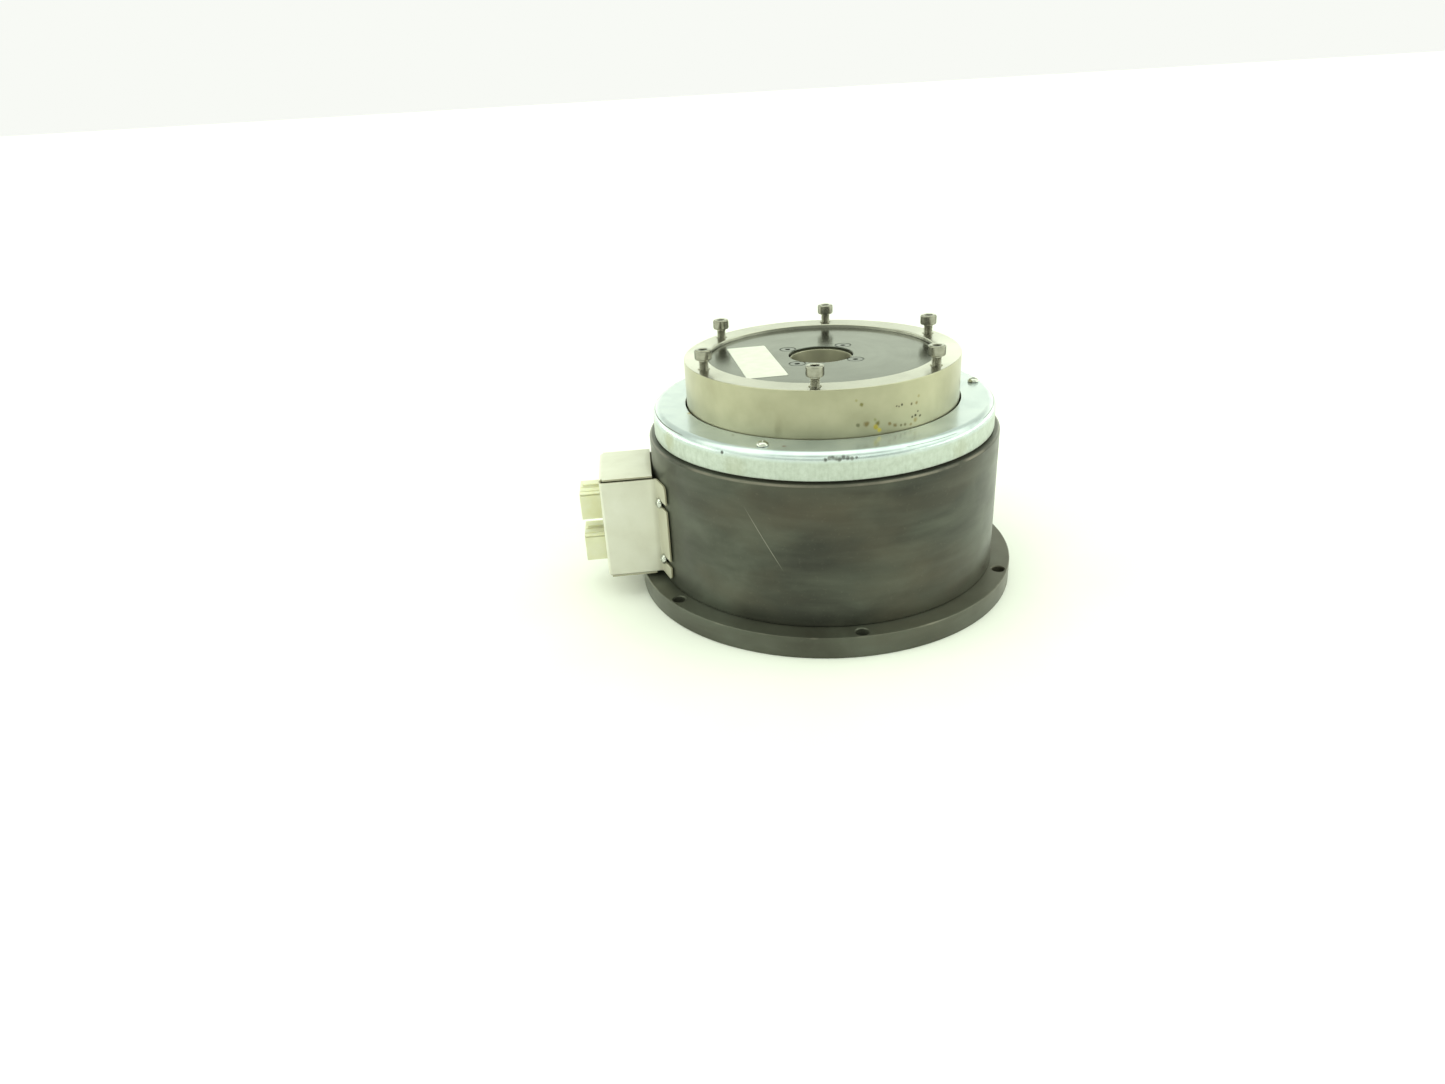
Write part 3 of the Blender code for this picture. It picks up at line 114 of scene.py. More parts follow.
# the place on the piece, and its (radius, height) about the axis, which is the same all along a lathe line
def latheCoordinates(add):
    place = add("TexCoord").outputs["Object"]
    flat = add("VectorMath", {0: place, 1: (1, 1, 0)}, operation="MULTIPLY")
    radius = add("VectorMath", {0: flat}, operation="LENGTH")
    height = add("SeparateXYZ", {0: place}).outputs["Z"]
    section = add("CombineXYZ", {"X": radius, "Y": height})
    return place, section


def scaleFor(size):  # noise scale whose blotches are about this many mm across
    return 1 / (size * mm)


usualNoise = {"From Min": 0.3, "From Max": 0.7}  # where most of a noise's values lie
# how far a stain's edge wanders, and between what it fades, in the stain's own size
stainEdge = {"ragged": 1.6, "outer": 2.3, "inner": 1.4}


# lays ragged stains over a colour; each is (place, size, colour, strength) in mm
def stained(add, place, colour, fleck, stains):
    for spot, size, tone, depth in stains:
        away = add("VectorMath", {0: place, 1: tuple(Vector(spot) * mm)}, operation="DISTANCE")
        wander = stainEdge["ragged"] * size * mm
        ragged = add("Math", {0: fleck, 1: wander, 2: away}, operation="MULTIPLY_ADD")
        patch = add("MapRange", {
            "Value": ragged, "From Min": stainEdge["outer"] * size * mm,
            "From Max": stainEdge["inner"] * size * mm, "To Max": depth})
        colour = add("Mix", {0: patch, 6: colour, 7: toLinear(tone)}, data_type="RGBA")
    return colour


# steel, turned and then blackened in a hot oxide bath: a thin dark skin with an oily sheen. To the eye it
# is a soft olive-grey that pales at glancing angles, with wide dark and brownish clouds smeared round the
# axis, faint turning lines, and paler steel along the edges, which is partly rubbed wear and partly a
# painted highlight line
def blackenedSteel(name, tones, edges=(), scratches=()):
    finish, add = startFinish(name)
    place, section = latheCoordinates(add)
    smeared = add("Mapping", {"Vector": place, "Scale": (1, 1, 1.9)})
    wiped = add("Mapping", {"Vector": place, "Scale": (1, 1, 9)})
    clouds = add("TexNoise", {"Vector": smeared, "Scale": scaleFor(44), "Detail": 4, "Distortion": 0.4})
    colour = add("ValToRGB", {0: clouds}, stops=list(zip((0.30, 0.46, 0.58, 0.72), tones)))
    layers = [  # (coordinates, size in mm, detail, noise where it starts and is full, strength, colour)
        (smeared, 70, 3, 0.48, 0.72, 0.55, "#564e40"),  # brownish clouds
        (wiped, 60, 4, 0.45, 0.75, 0.3, "#5e6056"),  # wiped smears
        (place, 1.4, 3, 0.62, 0.80, 0.25, "#6d6a5c"),  # dust
    ]
    for where, size, detail, start, full, strength, tone in layers:
        noise = add("TexNoise", {"Vector": where, "Scale": scaleFor(size), "Detail": detail})
        patch = add("MapRange", {"Value": noise, "From Min": start, "From Max": full, "To Max": strength})
        colour = add("Mix", {0: patch, 6: colour, 7: toLinear(tone)}, data_type="RGBA")
    for radius, level, width, share, tone in edges:  # edges paler in patches of about 20 mm: rubbed wear and a painted highlight line
        rim = (radius * mm, level * mm, 0)
        away = add("VectorMath", {0: section, 1: rim}, operation="DISTANCE")
        fade = {"Value": away, "From Min": width * mm, "From Max": width * 0.4 * mm}
        near = add("MapRange", fade, interpolation_type="SMOOTHSTEP")
        chips = add("TexNoise", {"Vector": place, "Scale": scaleFor(20), "Detail": 6})
        chipped = add("MapRange", {"Value": chips, "From Min": share, "From Max": share + 0.25})
        # the paler edge colour is partly rubbed wear and partly a painted highlight
        rubbedAndLit = add("Math", {0: near, 1: chipped}, operation="MULTIPLY")
        colour = add("Mix", {0: rubbedAndLit, 6: colour, 7: toLinear(tone)}, data_type="RGBA")
    for start, end, width, tone in scratches:
        start, end = Vector(start) * mm, Vector(end) * mm
        run = end - start
        across = run.cross(Vector((start.x + end.x, start.y + end.y, 0))).normalized()
        offset = add("VectorMath", {0: place, 1: tuple(start)}, operation="SUBTRACT")
        side = add("VectorMath", {0: offset, 1: tuple(across)}, operation="DOT_PRODUCT")
        beside = add("Math", {0: side}, operation="ABSOLUTE")
        line = add("MapRange", {"Value": beside, "From Min": width * mm, "From Max": 0.0})
        pace = tuple(run / run.length_squared)
        along = add("VectorMath", {0: offset, 1: pace}, operation="DOT_PRODUCT")
        begin = add("MapRange", {"Value": along, "From Min": 0.0, "From Max": 0.3})
        ending = add("MapRange", {"Value": along, "From Min": 1.0, "From Max": 0.75})
        length = add("Math", {0: begin, 1: ending}, operation="MULTIPLY")
        # only on the scratch's own side of the axis
        facing = add("VectorMath", {0: place, 1: tuple(start)}, operation="DOT_PRODUCT")
        front = add("Math", {0: facing, 1: 0.0}, operation="GREATER_THAN")
        shown = add("Math", {0: length, 1: front}, operation="MULTIPLY")
        mark = add("Math", {0: line, 1: shown}, operation="MULTIPLY")
        colour = add("Mix", {0: mark, 6: colour, 7: toLinear(tone)}, data_type="RGBA")
    # turning feed of 0.12 mm, drawn at 0.7 mm so that it shows
    feed = add("TexNoise", {"Vector": section, "Scale": scaleFor(0.7), "Detail": 2})
    rubbing = add("TexNoise", {"Vector": smeared, "Scale": scaleFor(18), "Detail": 4})
    roughness = add("MapRange", {"Value": rubbing, **usualNoise, "To Min": 0.31, "To Max": 0.40})
    tangent = add("Tangent", direction_type="RADIAL", axis="Z")
    bump = add("Bump", {"Height": feed, "Distance": 0.008 * mm, "Strength": 0.2})
    shader = add("BsdfPrincipled", {
        "Base Color": colour, "Metallic": 0.45, "Roughness": roughness, "Anisotropic": 0.6,
        "Anisotropic Rotation": 0.25, "Tangent": tangent, "Normal": bump})
    add("OutputMaterial", {0: shader})
    return finish


# stainless steel, finish-turned: a warm grey with hair-fine lines round the axis, which stretch the
# reflections up and down, and rust and oil stains left by handling
def turnedStainless(name, tones, rough, stains=()):
    finish, add = startFinish(name)
    place, section = latheCoordinates(add)
    haze = add("TexNoise", {"Vector": place, "Scale": scaleFor(18), "Detail": 4})
    colour = add("ValToRGB", {0: haze}, stops=list(zip((0.32, 0.5, 0.68), tones)))
    fleck = add("TexNoise", {"Vector": place, "Scale": scaleFor(1.6), "Detail": 5})
    colour = stained(add, place, colour, fleck, stains)
    # tool marks of 0.1 mm, drawn at 0.5 mm so that they show
    lines = add("TexNoise", {"Vector": section, "Scale": scaleFor(0.5), "Detail": 3})
    roughness = add("MapRange", {
        "Value": lines, **usualNoise, "To Min": rough - 0.01, "To Max": rough + 0.01})
    tangent = add("Tangent", direction_type="RADIAL", axis="Z")
    bump = add("Bump", {"Height": lines, "Distance": 0.0002 * mm, "Strength": 0.1})
    shader = add("BsdfPrincipled", {
        "Base Color": colour, "Metallic": 1.0, "Roughness": roughness, "Anisotropic": 0.9,
        "Anisotropic Rotation": 0.25, "Tangent": tangent, "Normal": bump})
    add("OutputMaterial", {0: shader})
    return finish


# mild steel sheet, pressed, then zinc plated with a clear blue passivate: a cool silver that mirrors softly
# on the drawn top and is grainy and blotchy on the skirt, where the draw roughened it
def zincPlate(name, skirtTop, skirtFade, stains=()):
    finish, add = startFinish(name)
    place = add("TexCoord").outputs["Object"]
    height = add("SeparateXYZ", {0: place}).outputs["Z"]
    skirt = add("MapRange", {"Value": height, "From Min": skirtTop * mm, "From Max": skirtFade * mm})
    blotch = add("TexNoise", {"Vector": place, "Scale": scaleFor(2.6), "Detail": 5, "Roughness": 0.6})
    cloud = add("TexNoise", {"Vector": place, "Scale": scaleFor(14), "Detail": 4})
    topTones = [(0.3, "#bbc6cb"), (0.5, "#c8d2d7"), (0.7, "#d2dbde")]
    skirtTones = [(0.3, "#b2bab1"), (0.5, "#bec6be"), (0.7, "#c9d0ca")]
    smooth = add("ValToRGB", {0: cloud}, stops=topTones)
    grainy = add("ValToRGB", {0: blotch}, stops=skirtTones)
    colour = add("Mix", {0: skirt, 6: smooth, 7: grainy}, data_type="RGBA")
    # vertical drag lines from the press, 1.2 mm apart round the skirt
    drag = add("Mapping", {"Vector": place, "Scale": (1, 1, 0.12)})
    dragged = add("TexNoise", {"Vector": drag, "Scale": scaleFor(1.2), "Detail": 4})
    dull = add("MapRange", {"Value": dragged, "From Min": 0.5, "From Max": 0.75, "To Max": 0.22})
    dullSkirt = add("Math", {0: dull, 1: skirt}, operation="MULTIPLY")
    colour = add("Mix", {0: dullSkirt, 6: colour, 7: toLinear("#8f978d")}, data_type="RGBA")
    colour = stained(add, place, colour, blotch, stains)
    even = add("MapRange", {"Value": cloud, **usualNoise, "To Min": 0.20, "To Max": 0.26})
    uneven = add("MapRange", {"Value": blotch, **usualNoise, "To Min": 0.36, "To Max": 0.46})
    roughness = add("Mix", {0: skirt, 2: even, 3: uneven}, data_type="FLOAT")
    grain = add("Math", {0: blotch, 1: skirt}, operation="MULTIPLY")
    bump = add("Bump", {"Height": grain, "Distance": 0.03 * mm, "Strength": 0.3})
    shader = add("BsdfPrincipled", {
        "Base Color": colour, "Metallic": 0.75, "Roughness": roughness, "Normal": bump})
    add("OutputMaterial", {0: shader})
    return finish


# steel plate, ground and lightly blackened: a slate grey that mirrors well at a low angle, with faint
# concentric rubbing marks
def darkSteelPlate(name):
    finish, add = startFinish(name)
    place, section = latheCoordinates(add)
    cloud = add("TexNoise", {"Vector": place, "Scale": scaleFor(22), "Detail": 5})
    tones = [(0.3, "#5f625d"), (0.5, "#696c67"), (0.7, "#727570")]
    colour = add("ValToRGB", {0: cloud}, stops=tones)
    # rubbing marks of 0.15 mm, drawn at 0.8 mm so that they show
    rings = add("TexNoise", {"Vector": section, "Scale": scaleFor(0.8), "Detail": 3})
    roughness = add("MapRange", {"Value": rings, **usualNoise, "To Min": 0.17, "To Max": 0.21})
    bump = add("Bump", {"Height": rings, "Distance": 0.003 * mm, "Strength": 0.15})
    # the tint takes a little off the mirror at a low angle, as the oxide does
    shader = add("BsdfPrincipled", {
        "Base Color": colour, "Metallic": 1.0, "Roughness": roughness, "Specular Tint": toLinear("#f3f3f1"),
        "Normal": bump})
    add("OutputMaterial", {0: shader})
    return finish


# sheet steel, powder coated in light beige: an even satin skin with a slight orange peel and a little
# grime, thinner and darker on the cut edges, with a painted shade on the tabs beside the shell
def beigePowderCoat(name, tones):
    finish, add = startFinish(name)
    place = add("TexCoord").outputs["Object"]
    grime = add("TexNoise", {"Vector": place, "Scale": scaleFor(16), "Detail": 5})
    colour = add("ValToRGB", {0: grime}, stops=list(zip((0.28, 0.5, 0.75), tones)))
    # painted shade on the tabs beside the shell: none at 99 mm from the axis, full at 95.5 mm
    flat = add("VectorMath", {0: place, 1: (1, 1, 0)}, operation="MULTIPLY")
    reach = add("VectorMath", {0: flat}, operation="LENGTH")
    paintedTabShade = add("MapRange", {"Value": reach, "From Min": 99 * mm, "From Max": 95.5 * mm, "To Max": 0.55})
    colour = add("Mix", {0: paintedTabShade, 6: colour, 7: toLinear("#9a957c")}, data_type="RGBA")
    # orange peel of 0.9 mm
    peel = add("TexNoise", {"Vector": place, "Scale": scaleFor(0.9), "Detail": 2})
    roughness = add("MapRange", {"Value": grime, "To Min": 0.36, "To Max": 0.48})
    bump = add("Bump", {"Height": peel, "Distance": 0.02 * mm, "Strength": 0.35})
    shader = add("BsdfPrincipled", {
        "Base Color": colour, "Roughness": roughness, "IOR": 1.5, "Normal": bump})
    add("OutputMaterial", {0: shader})
    return finish


# nylon 66, moulded in its natural colour: a slightly see-through ivory, satin from the mould, that goes
# yellow where it is thin or shaded
def naturalNylon(name):
    finish, add = startFinish(name)
    place = add("TexCoord").outputs["Object"]
    flow = add("TexNoise", {"Vector": place, "Scale": scaleFor(11), "Detail": 4})
    tones = [(0.3, "#d6d4b0"), (0.5, "#dcdbbf"), (0.7, "#e1e0ca")]
    colour = add("ValToRGB", {0: flow}, stops=tones)
    # spark-eroded mould grain of 0.25 mm, drawn at 0.5 mm so that it shows
    grain = add("TexNoise", {"Vector": place, "Scale": scaleFor(0.5), "Detail": 2})
    roughness = add("MapRange", {"Value": grain, "To Min": 0.32, "To Max": 0.46})
    bump = add("Bump", {"Height": grain, "Distance": 0.01 * mm, "Strength": 0.3})
    shader = add("BsdfPrincipled", {
        "Base Color": colour, "Roughness": roughness, "IOR": 1.53, "Subsurface Weight": 0.25,
        "Subsurface Radius": (1.0, 0.85, 0.35), "Subsurface Scale": 1.2 * mm, "Normal": bump})
    add("OutputMaterial", {0: shader})
    return finish


# small metal pieces, cold-headed, ground or drawn: one tone with cloudy stains and fine marks of the
# given size
def smallMetal(name, dark, light, rough, markSize, metal=1.0):
    finish, add = startFinish(name)
    place = add("TexCoord").outputs["Object"]
    cloud = add("TexNoise", {"Vector": place, "Scale": scaleFor(2.4), "Detail": 4})
    colour = add("ValToRGB", {0: cloud}, stops=[(0.3, dark), (0.7, light)])
    marks = add("TexNoise", {"Vector": place, "Scale": scaleFor(markSize), "Detail": 3})
    roughness = add("MapRange", {
        "Value": marks, **usualNoise, "To Min": rough * 0.8, "To Max": rough * 1.25})
    bump = add("Bump", {"Height": marks, "Distance": 0.008 * mm, "Strength": 0.4})
    shader = add("BsdfPrincipled", {
        "Base Color": colour, "Metallic": metal, "Roughness": roughness, "Normal": bump})
    add("OutputMaterial", {0: shader})
    return finish


# a stack or winding, layered up the axis at the given pitch: lamination edges or laid wire
def layered(name, dark, light, pitch, metal, rough):
    finish, add = startFinish(name)
    place = add("TexCoord").outputs["Object"]
    # a wave's bands are 0.314 / scale apart
    wave = {"Vector": place, "Scale": 0.314 / (pitch * mm), "Distortion": 0.4}
    bands = add("TexWave", wave, bands_direction="Z").outputs["Fac"]
    cloud = add("TexNoise", {"Vector": place, "Scale": scaleFor(6), "Detail": 4})
    shade = add("MapRange", {"Value": cloud, "To Max": 0.35})
    colour = add("ValToRGB", {0: bands}, stops=[(0.15, dark), (0.6, light)])
    colour = add("Mix", {0: shade, 6: colour, 7: toLinear(dark)}, data_type="RGBA")
    roughness = add("MapRange", {"Value": cloud, "To Min": rough * 0.8, "To Max": rough * 1.2})
    bump = add("Bump", {"Height": bands, "Distance": 0.08 * mm, "Strength": 0.6})
    shader = add("BsdfPrincipled", {
        "Base Color": colour, "Metallic": metal, "Roughness": roughness, "Normal": bump})
    add("OutputMaterial", {0: shader})
    return finish


# soft moulded or extruded skins, rubber, PVC and vinyl: satin to matt, with a fine grain and a dusty bloom
def softSkin(name, dark, light, rough, grainSize):
    finish, add = startFinish(name)
    place = add("TexCoord").outputs["Object"]
    bloom = add("TexNoise", {"Vector": place, "Scale": scaleFor(5), "Detail": 4})
    colour = add("ValToRGB", {0: bloom}, stops=[(0.35, dark), (0.7, light)])
    grain = add("TexNoise", {"Vector": place, "Scale": scaleFor(grainSize), "Detail": 2})
    roughness = add("MapRange", {"Value": grain, "To Min": rough * 0.85, "To Max": rough * 1.15})
    bump = add("Bump", {"Height": grain, "Distance": 0.02 * mm, "Strength": 0.4})
    shader = add("BsdfPrincipled", {
        "Base Color": colour, "Roughness": roughness, "IOR": 1.52, "Normal": bump})
    add("OutputMaterial", {0: shader})
    return finish


ringStains = [  # (place, size, colour, strength), in mm
    ((5.0, -72.7, 117.7), 0.8, "#6f6a34", 0.8),
    ((2.5, -72.8, 119.8), 0.6, "#8a8448", 0.5),
    ((22.6, -69.3, 114.4), 0.4, "#3f3a2a", 0.8),
    ((23.9, -68.9, 114.0), 0.4, "#3f3a2a", 0.8),
    ((25.4, -68.3, 114.6), 0.5, "#332e22", 0.9),
    ((30.7, -66.1, 113.9), 0.6, "#4a412c", 0.85),
    ((33.5, -64.7, 113.8), 0.7, "#7b6b40", 0.75),
    ((34.6, -64.1, 116.9), 0.6, "#857a44", 0.5),
    ((34.5, -64.2, 109.4), 0.4, "#332e22", 0.85),
    ((33.1, -64.9, 107.7), 0.6, "#2c271d", 0.95),
    ((35.8, -63.4, 106.9), 0.6, "#332e22", 0.9),
    ((31.4, -65.7, 107.3), 0.5, "#332e22", 0.8),
    ((33.2, -64.8, 105.3), 1.0, "#8e7d4c", 0.7),
    ((13.1, -71.7, 107.5), 1.0, "#6e6530", 0.85),
    ((12.0, -71.9, 105.9), 1.1, "#b5a345", 0.9),
    ((13.9, -71.5, 104.2), 1.0, "#cdbd55", 0.9),
    ((11.7, -71.9, 109.5), 0.7, "#7c8248", 0.5),
    ((7.4, -72.5, 107.8), 1.2, "#76643a", 0.75),
    ((3.3, -72.8, 107.8), 0.8, "#5f6046", 0.7),
    ((19.2, -70.3, 106.4), 0.8, "#7a6638", 0.7),
    ((22.0, -69.5, 105.1), 0.9, "#74603a", 0.75),
    ((25.3, -68.3, 104.5), 0.6, "#5c5234", 0.7),
    ((27.4, -67.5, 104.4), 0.7, "#5c5234", 0.7),
    ((30.6, -66.1, 103.8), 0.7, "#7a6638", 0.6),
]
coverStains = [
    ((-84.8, -33.8, 94.7), 4.5, "#a6a681", 0.45),
    ((-55.6, -72.4, 91.6), 5.0, "#a9ac97", 0.4),
    ((52.7, -74.6, 91.7), 4.5, "#a9ac97", 0.4),
    ((-72.3, -15.0, 101.9), 1.4, "#b59b4a", 0.7),
    ((-32.4, -76.4, 101.9), 0.9, "#8a5a44", 0.75),
    ((-54.1, -54.9, 101.9), 0.6, "#6f5335", 0.8),
    ((-61.0, -68.0, 98.3), 0.8, "#2f2f28", 0.9),
    ((-15.6, -89.9, 98.5), 0.8, "#45463d", 0.8),
    ((-14.0, -90.2, 99.3), 0.9, "#5b5c52", 0.7),
    ((-12.4, -90.4, 99.6), 0.8, "#45463d", 0.75),
    ((-10.8, -90.6, 99.0), 0.9, "#5b5c52", 0.7),
    ((-9.2, -90.8, 98.6), 0.9, "#45463d", 0.75),
    ((-7.4, -90.9, 99.3), 0.9, "#3a3a32", 0.8),
    ((-5.6, -91.0, 98.8), 0.9, "#45463d", 0.8),
    ((-3.6, -91.1, 98.6), 0.8, "#5b5c52", 0.7),
    ((-1.6, -91.2, 98.9), 0.6, "#45463d", 0.7),
]
flangeTones = ("#44433a", "#4f5046", "#5a5c52", "#666960")
shellTones = ("#30302a", "#3c3d35", "#484a41", "#56594f")
# rubbed edges with a painted highlight line are (radius, height, width, noise where they start, colour)
flangeRubAndHighlight = (104.5, 11.3, 0.7, 0.5, "#7b766b")
shellRubAndHighlight = (93.8, 86.4, 0.8, 0.38, "#756e64")
# a scratch is (start, end, width, colour)
shellScratch = ((-53.2, -77.9, 74.6), (-35.8, -87.2, 41.6), 0.3, "#86837a")
flangeFinish = blackenedSteel("blackenedSteelFlange", flangeTones, [flangeRubAndHighlight])
shellFinish = blackenedSteel("blackenedSteelShell", shellTones, [shellRubAndHighlight], [shellScratch])
postFinish = blackenedSteel("blackenedSteelPost", shellTones)
ringFinish = turnedStainless("turnedStainlessRing", ("#a29f87", "#aba890", "#b3b098"), 0.31, ringStains)
sleeveFinish = turnedStainless("turnedStainlessSleeve", ("#a9a692", "#b4b19d", "#bcb9a6"), 0.46)
# the ring's face and bore are turned finer and so shinier; their paler tone is painted light
faceFinishWithPaintedLight = turnedStainless("turnedStainlessFace", ("#bebcb2", "#c4c2b8", "#cac8be"), 0.24)
coverFinish = zincPlate("zincPlatedSheet", 98.6, 96.4, coverStains)
discFinish = darkSteelPlate("blackenedGroundSteel")
boxFinish = beigePowderCoat("beigePowderCoat", ("#d1cec1", "#dad8cc", "#e0ded4"))
edgeFinish = beigePowderCoat("thinPowderCoatEdge", ("#9d9883", "#aca893", "#b8b4a1"))
nylonFinish = naturalNylon("naturalNylon66")
# stainless screws: a warm grey, half bright
screwFinish = smallMetal("coldHeadedStainless", "#89877c", "#a5a398", 0.20, 0.4)
# nickel-plated screws: a clear bright mirror
brightScrewFinish = smallMetal("nickelPlatedSteel", "#b4b6b0", "#d0d2cc", 0.14, 0.5)
# black-oxide alloy screws: near black, dull
blackScrewFinish = smallMetal("blackOxideScrew", "#22221f", "#3a3934", 0.42, 0.4, 0.6)
# the sunk screws share the disc's slate grey
sunkScrewFinish = smallMetal("blackenedSunkScrew", "#4c4f4b", "#666964", 0.22, 0.4)
# bearing steel, ground and polished: a clear grey mirror
bearingFinish = smallMetal("groundBearingSteel", "#a5a7a8", "#bfc1c2", 0.16, 0.5)
# tinned brass contacts: soft silver
contactFinish = smallMetal("tinnedBrass", "#a9a79c", "#c8c6ba", 0.28, 0.3)
# silicon-steel laminations 0.5 mm thick, drawn at 1 mm so that they show
ironFinish = layered("laminatedIron", "#3d3f42", "#7d8085", 1.0, 0.9, 0.45)
# enamelled copper wire of 0.8 mm
copperFinish = layered("enamelledCopper", "#5a2a14", "#a8562c", 0.8, 0.6, 0.32)
# black rubber: dull, near black
rubberFinish = softSkin("mouldedRubber", "#1b1b1b", "#2b2b2a", 0.7, 0.4)
# PVC insulation: dark and satin
leadFinish = softSkin("extrudedPvc", "#26272a", "#3b3d41", 0.5, 0.6)
# white vinyl film with a satin face
stickerFinish = softSkin("satinVinylFilm", "#d2d2c9", "#dcdcd5", 0.36, 0.8)
print("finishes made")


# mesh helpers; sizes are in mm until a form is made

def polar(radius, degrees, height=0.0):
    angle = math.radians(degrees)
    return Vector((radius * math.cos(angle), radius * math.sin(angle), height))


# an outline from corners (x, y, rounding), with each rounding as an arc
def rounded(corners, steps=5, closed=True):
    outline = []
    count = len(corners)
    for k, (x, y, rounding) in enumerate(corners):
        here = Vector((x, y))
        if rounding == 0 or (not closed and k in (0, count - 1)):
            outline.append(here)
            continue
        toBefore = (Vector(corners[k - 1][:2]) - here).normalized()
        toAfter = (Vector(corners[(k + 1) % count][:2]) - here).normalized()
        half = toBefore.angle(toAfter) / 2
        centre = here + (toBefore + toAfter).normalized() * rounding / math.sin(half)
        start = here + toBefore * rounding / math.tan(half) - centre
        end = here + toAfter * rounding / math.tan(half) - centre
        for step in range(steps + 1):
            outline.append(centre + start.lerp(end, step / steps).normalized() * rounding)
    return outline


# a turned piece's section, from corners (radius, height, rounding): numbers or names in its dictionary
def sectionOf(sizes, corners, steps=5):
    return rounded([[sizes.get(value, value) for value in corner] for corner in corners], steps)


# turns a section about Z; a radius or a height may be a function of the angle
def turn(section, steps, closed=True):
    form = bmesh.new()
    rows = []
    for radius, height in section:
        row = []
        for k in range(steps):
            angle = math.tau * k / steps
            reach = radius(angle) if callable(radius) else radius
            level = height(angle) if callable(height) else height
            spot = Vector((reach * math.cos(angle), reach * math.sin(angle), level))
            row.append(form.verts.new(spot * mm))
        rows.append(row)
    for k in range(len(rows) if closed else len(rows) - 1):
        here, ahead = rows[k], rows[(k + 1) % len(rows)]
        for step in range(steps):
            turned = (step + 1) % steps
            form.faces.new((here[step], here[turned], ahead[turned], ahead[step]))
    if not closed:
        form.faces.new(rows[0])
        form.faces.new(rows[-1])
    bmesh.ops.recalc_face_normals(form, faces=form.faces)
    return form


def block(low, high):
    form = bmesh.new()
    bmesh.ops.create_cube(form, size=1.0)
    low, high = Vector(low) * mm, Vector(high) * mm
    for vert in form.verts:
        vert.co = Vector([low[k] if vert.co[k] < 0 else high[k] for k in range(3)])
    return form


# an outline drawn in XY and raised between two heights, its foot or head scaled
def prism(outline, bottom, top, foot=1.0, head=1.0):
    form = bmesh.new()
    lower = [form.verts.new(Vector((x * foot, y * foot, bottom)) * mm) for x, y in outline]
    upper = [form.verts.new(Vector((x * head, y * head, top)) * mm) for x, y in outline]
    form.faces.new(lower)
    form.faces.new(upper)
    for k in range(len(outline)):
        ahead = (k + 1) % len(outline)
        form.faces.new((lower[k], lower[ahead], upper[ahead], upper[k]))
    bmesh.ops.recalc_face_normals(form, faces=form.faces)
    return form


def moved(form, place=(0, 0, 0), spin=0.0, tilt=None):
    if tilt is not None:
        form.transform(tilt.to_4x4())
    form.transform(Matrix.Rotation(math.radians(spin), 4, "Z"))
    form.transform(Matrix.Translation(Vector(place) * mm))
    return form


def joined(forms):
    whole = bmesh.new()
    for form in forms:
        carrier = bpy.data.meshes.new("carrier")
        form.to_mesh(carrier)
        form.free()
        whole.from_mesh(carrier)
        bpy.data.meshes.remove(carrier)
    return whole


def looseObject(form, name):
    mesh = bpy.data.meshes.new(name)
    form.to_mesh(mesh)
    form.free()
    loose = bpy.data.objects.new(name, mesh)
    bpy.context.scene.collection.objects.link(loose)
    return loose


# cuts tools out of a form, or adds them to it
def combine(form, tools, operation="DIFFERENCE"):
    stock = looseObject(form, "stock")
    tool = looseObject(joined(tools), "tool")
    cut = stock.modifiers.new("cut", "BOOLEAN")
    cut.operation = operation
    cut.solver = "EXACT"
    cut.object = tool
    shaped = stock.evaluated_get(bpy.context.evaluated_depsgraph_get())
    result = bmesh.new()
    result.from_mesh(shaped.to_mesh())
    shaped.to_mesh_clear()
    for loose in (stock, tool):
        mesh = loose.data
        bpy.data.objects.remove(loose)
        bpy.data.meshes.remove(mesh)
    return result


def meshFrom(form, name, finish, smoothBelow=35):
    mesh = bpy.data.meshes.new(name)
    form.to_mesh(mesh)
    form.free()
    mesh.materials.append(finish)
    mesh.shade_smooth()
    mesh.set_sharp_from_angle(angle=math.radians(smoothBelow))
    return mesh


slotOf = {entry["node"]: entry["material_slot"] for entry in frame["record"]["subparts"]}


# puts a mesh in the scene, on its body, in place of its CAD node
def settle(mesh, name, body, node=None, place=None):
    piece = bpy.data.objects.new(name, mesh)
    bpy.context.scene.collection.objects.link(piece)
    if place is not None:
        piece.matrix_world = place
    # keeps flat faces flat beside small roundings
    even = piece.modifiers.new("evenShading", "WEIGHTED_NORMAL")
    even.keep_sharp = True
    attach(piece, body)
    if node:
        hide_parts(node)
    return piece


# rounds a piece's edges that bend by more than an angle, ahead of its even shading
def soften(piece, name, width, above):
    edges = piece.modifiers.new(name, "BEVEL")
    edges.width = width * mm
    edges.segments = 2
    edges.limit_method = "ANGLE"
    edges.angle_limit = math.radians(above)
    piece.modifiers.move(0, len(piece.modifiers) - 1)


# cutter for a hole drilled along Z, with a countersunk rim at its top
def drill(radius, bottom, top, rim=0.0, steps=32):
    section = [(radius, bottom), (radius, top - rim), (radius + rim, top), (radius + rim, top + 1.0)]
    return turn(section, steps, closed=False)


turnSteps = 192  # round a large turned piece

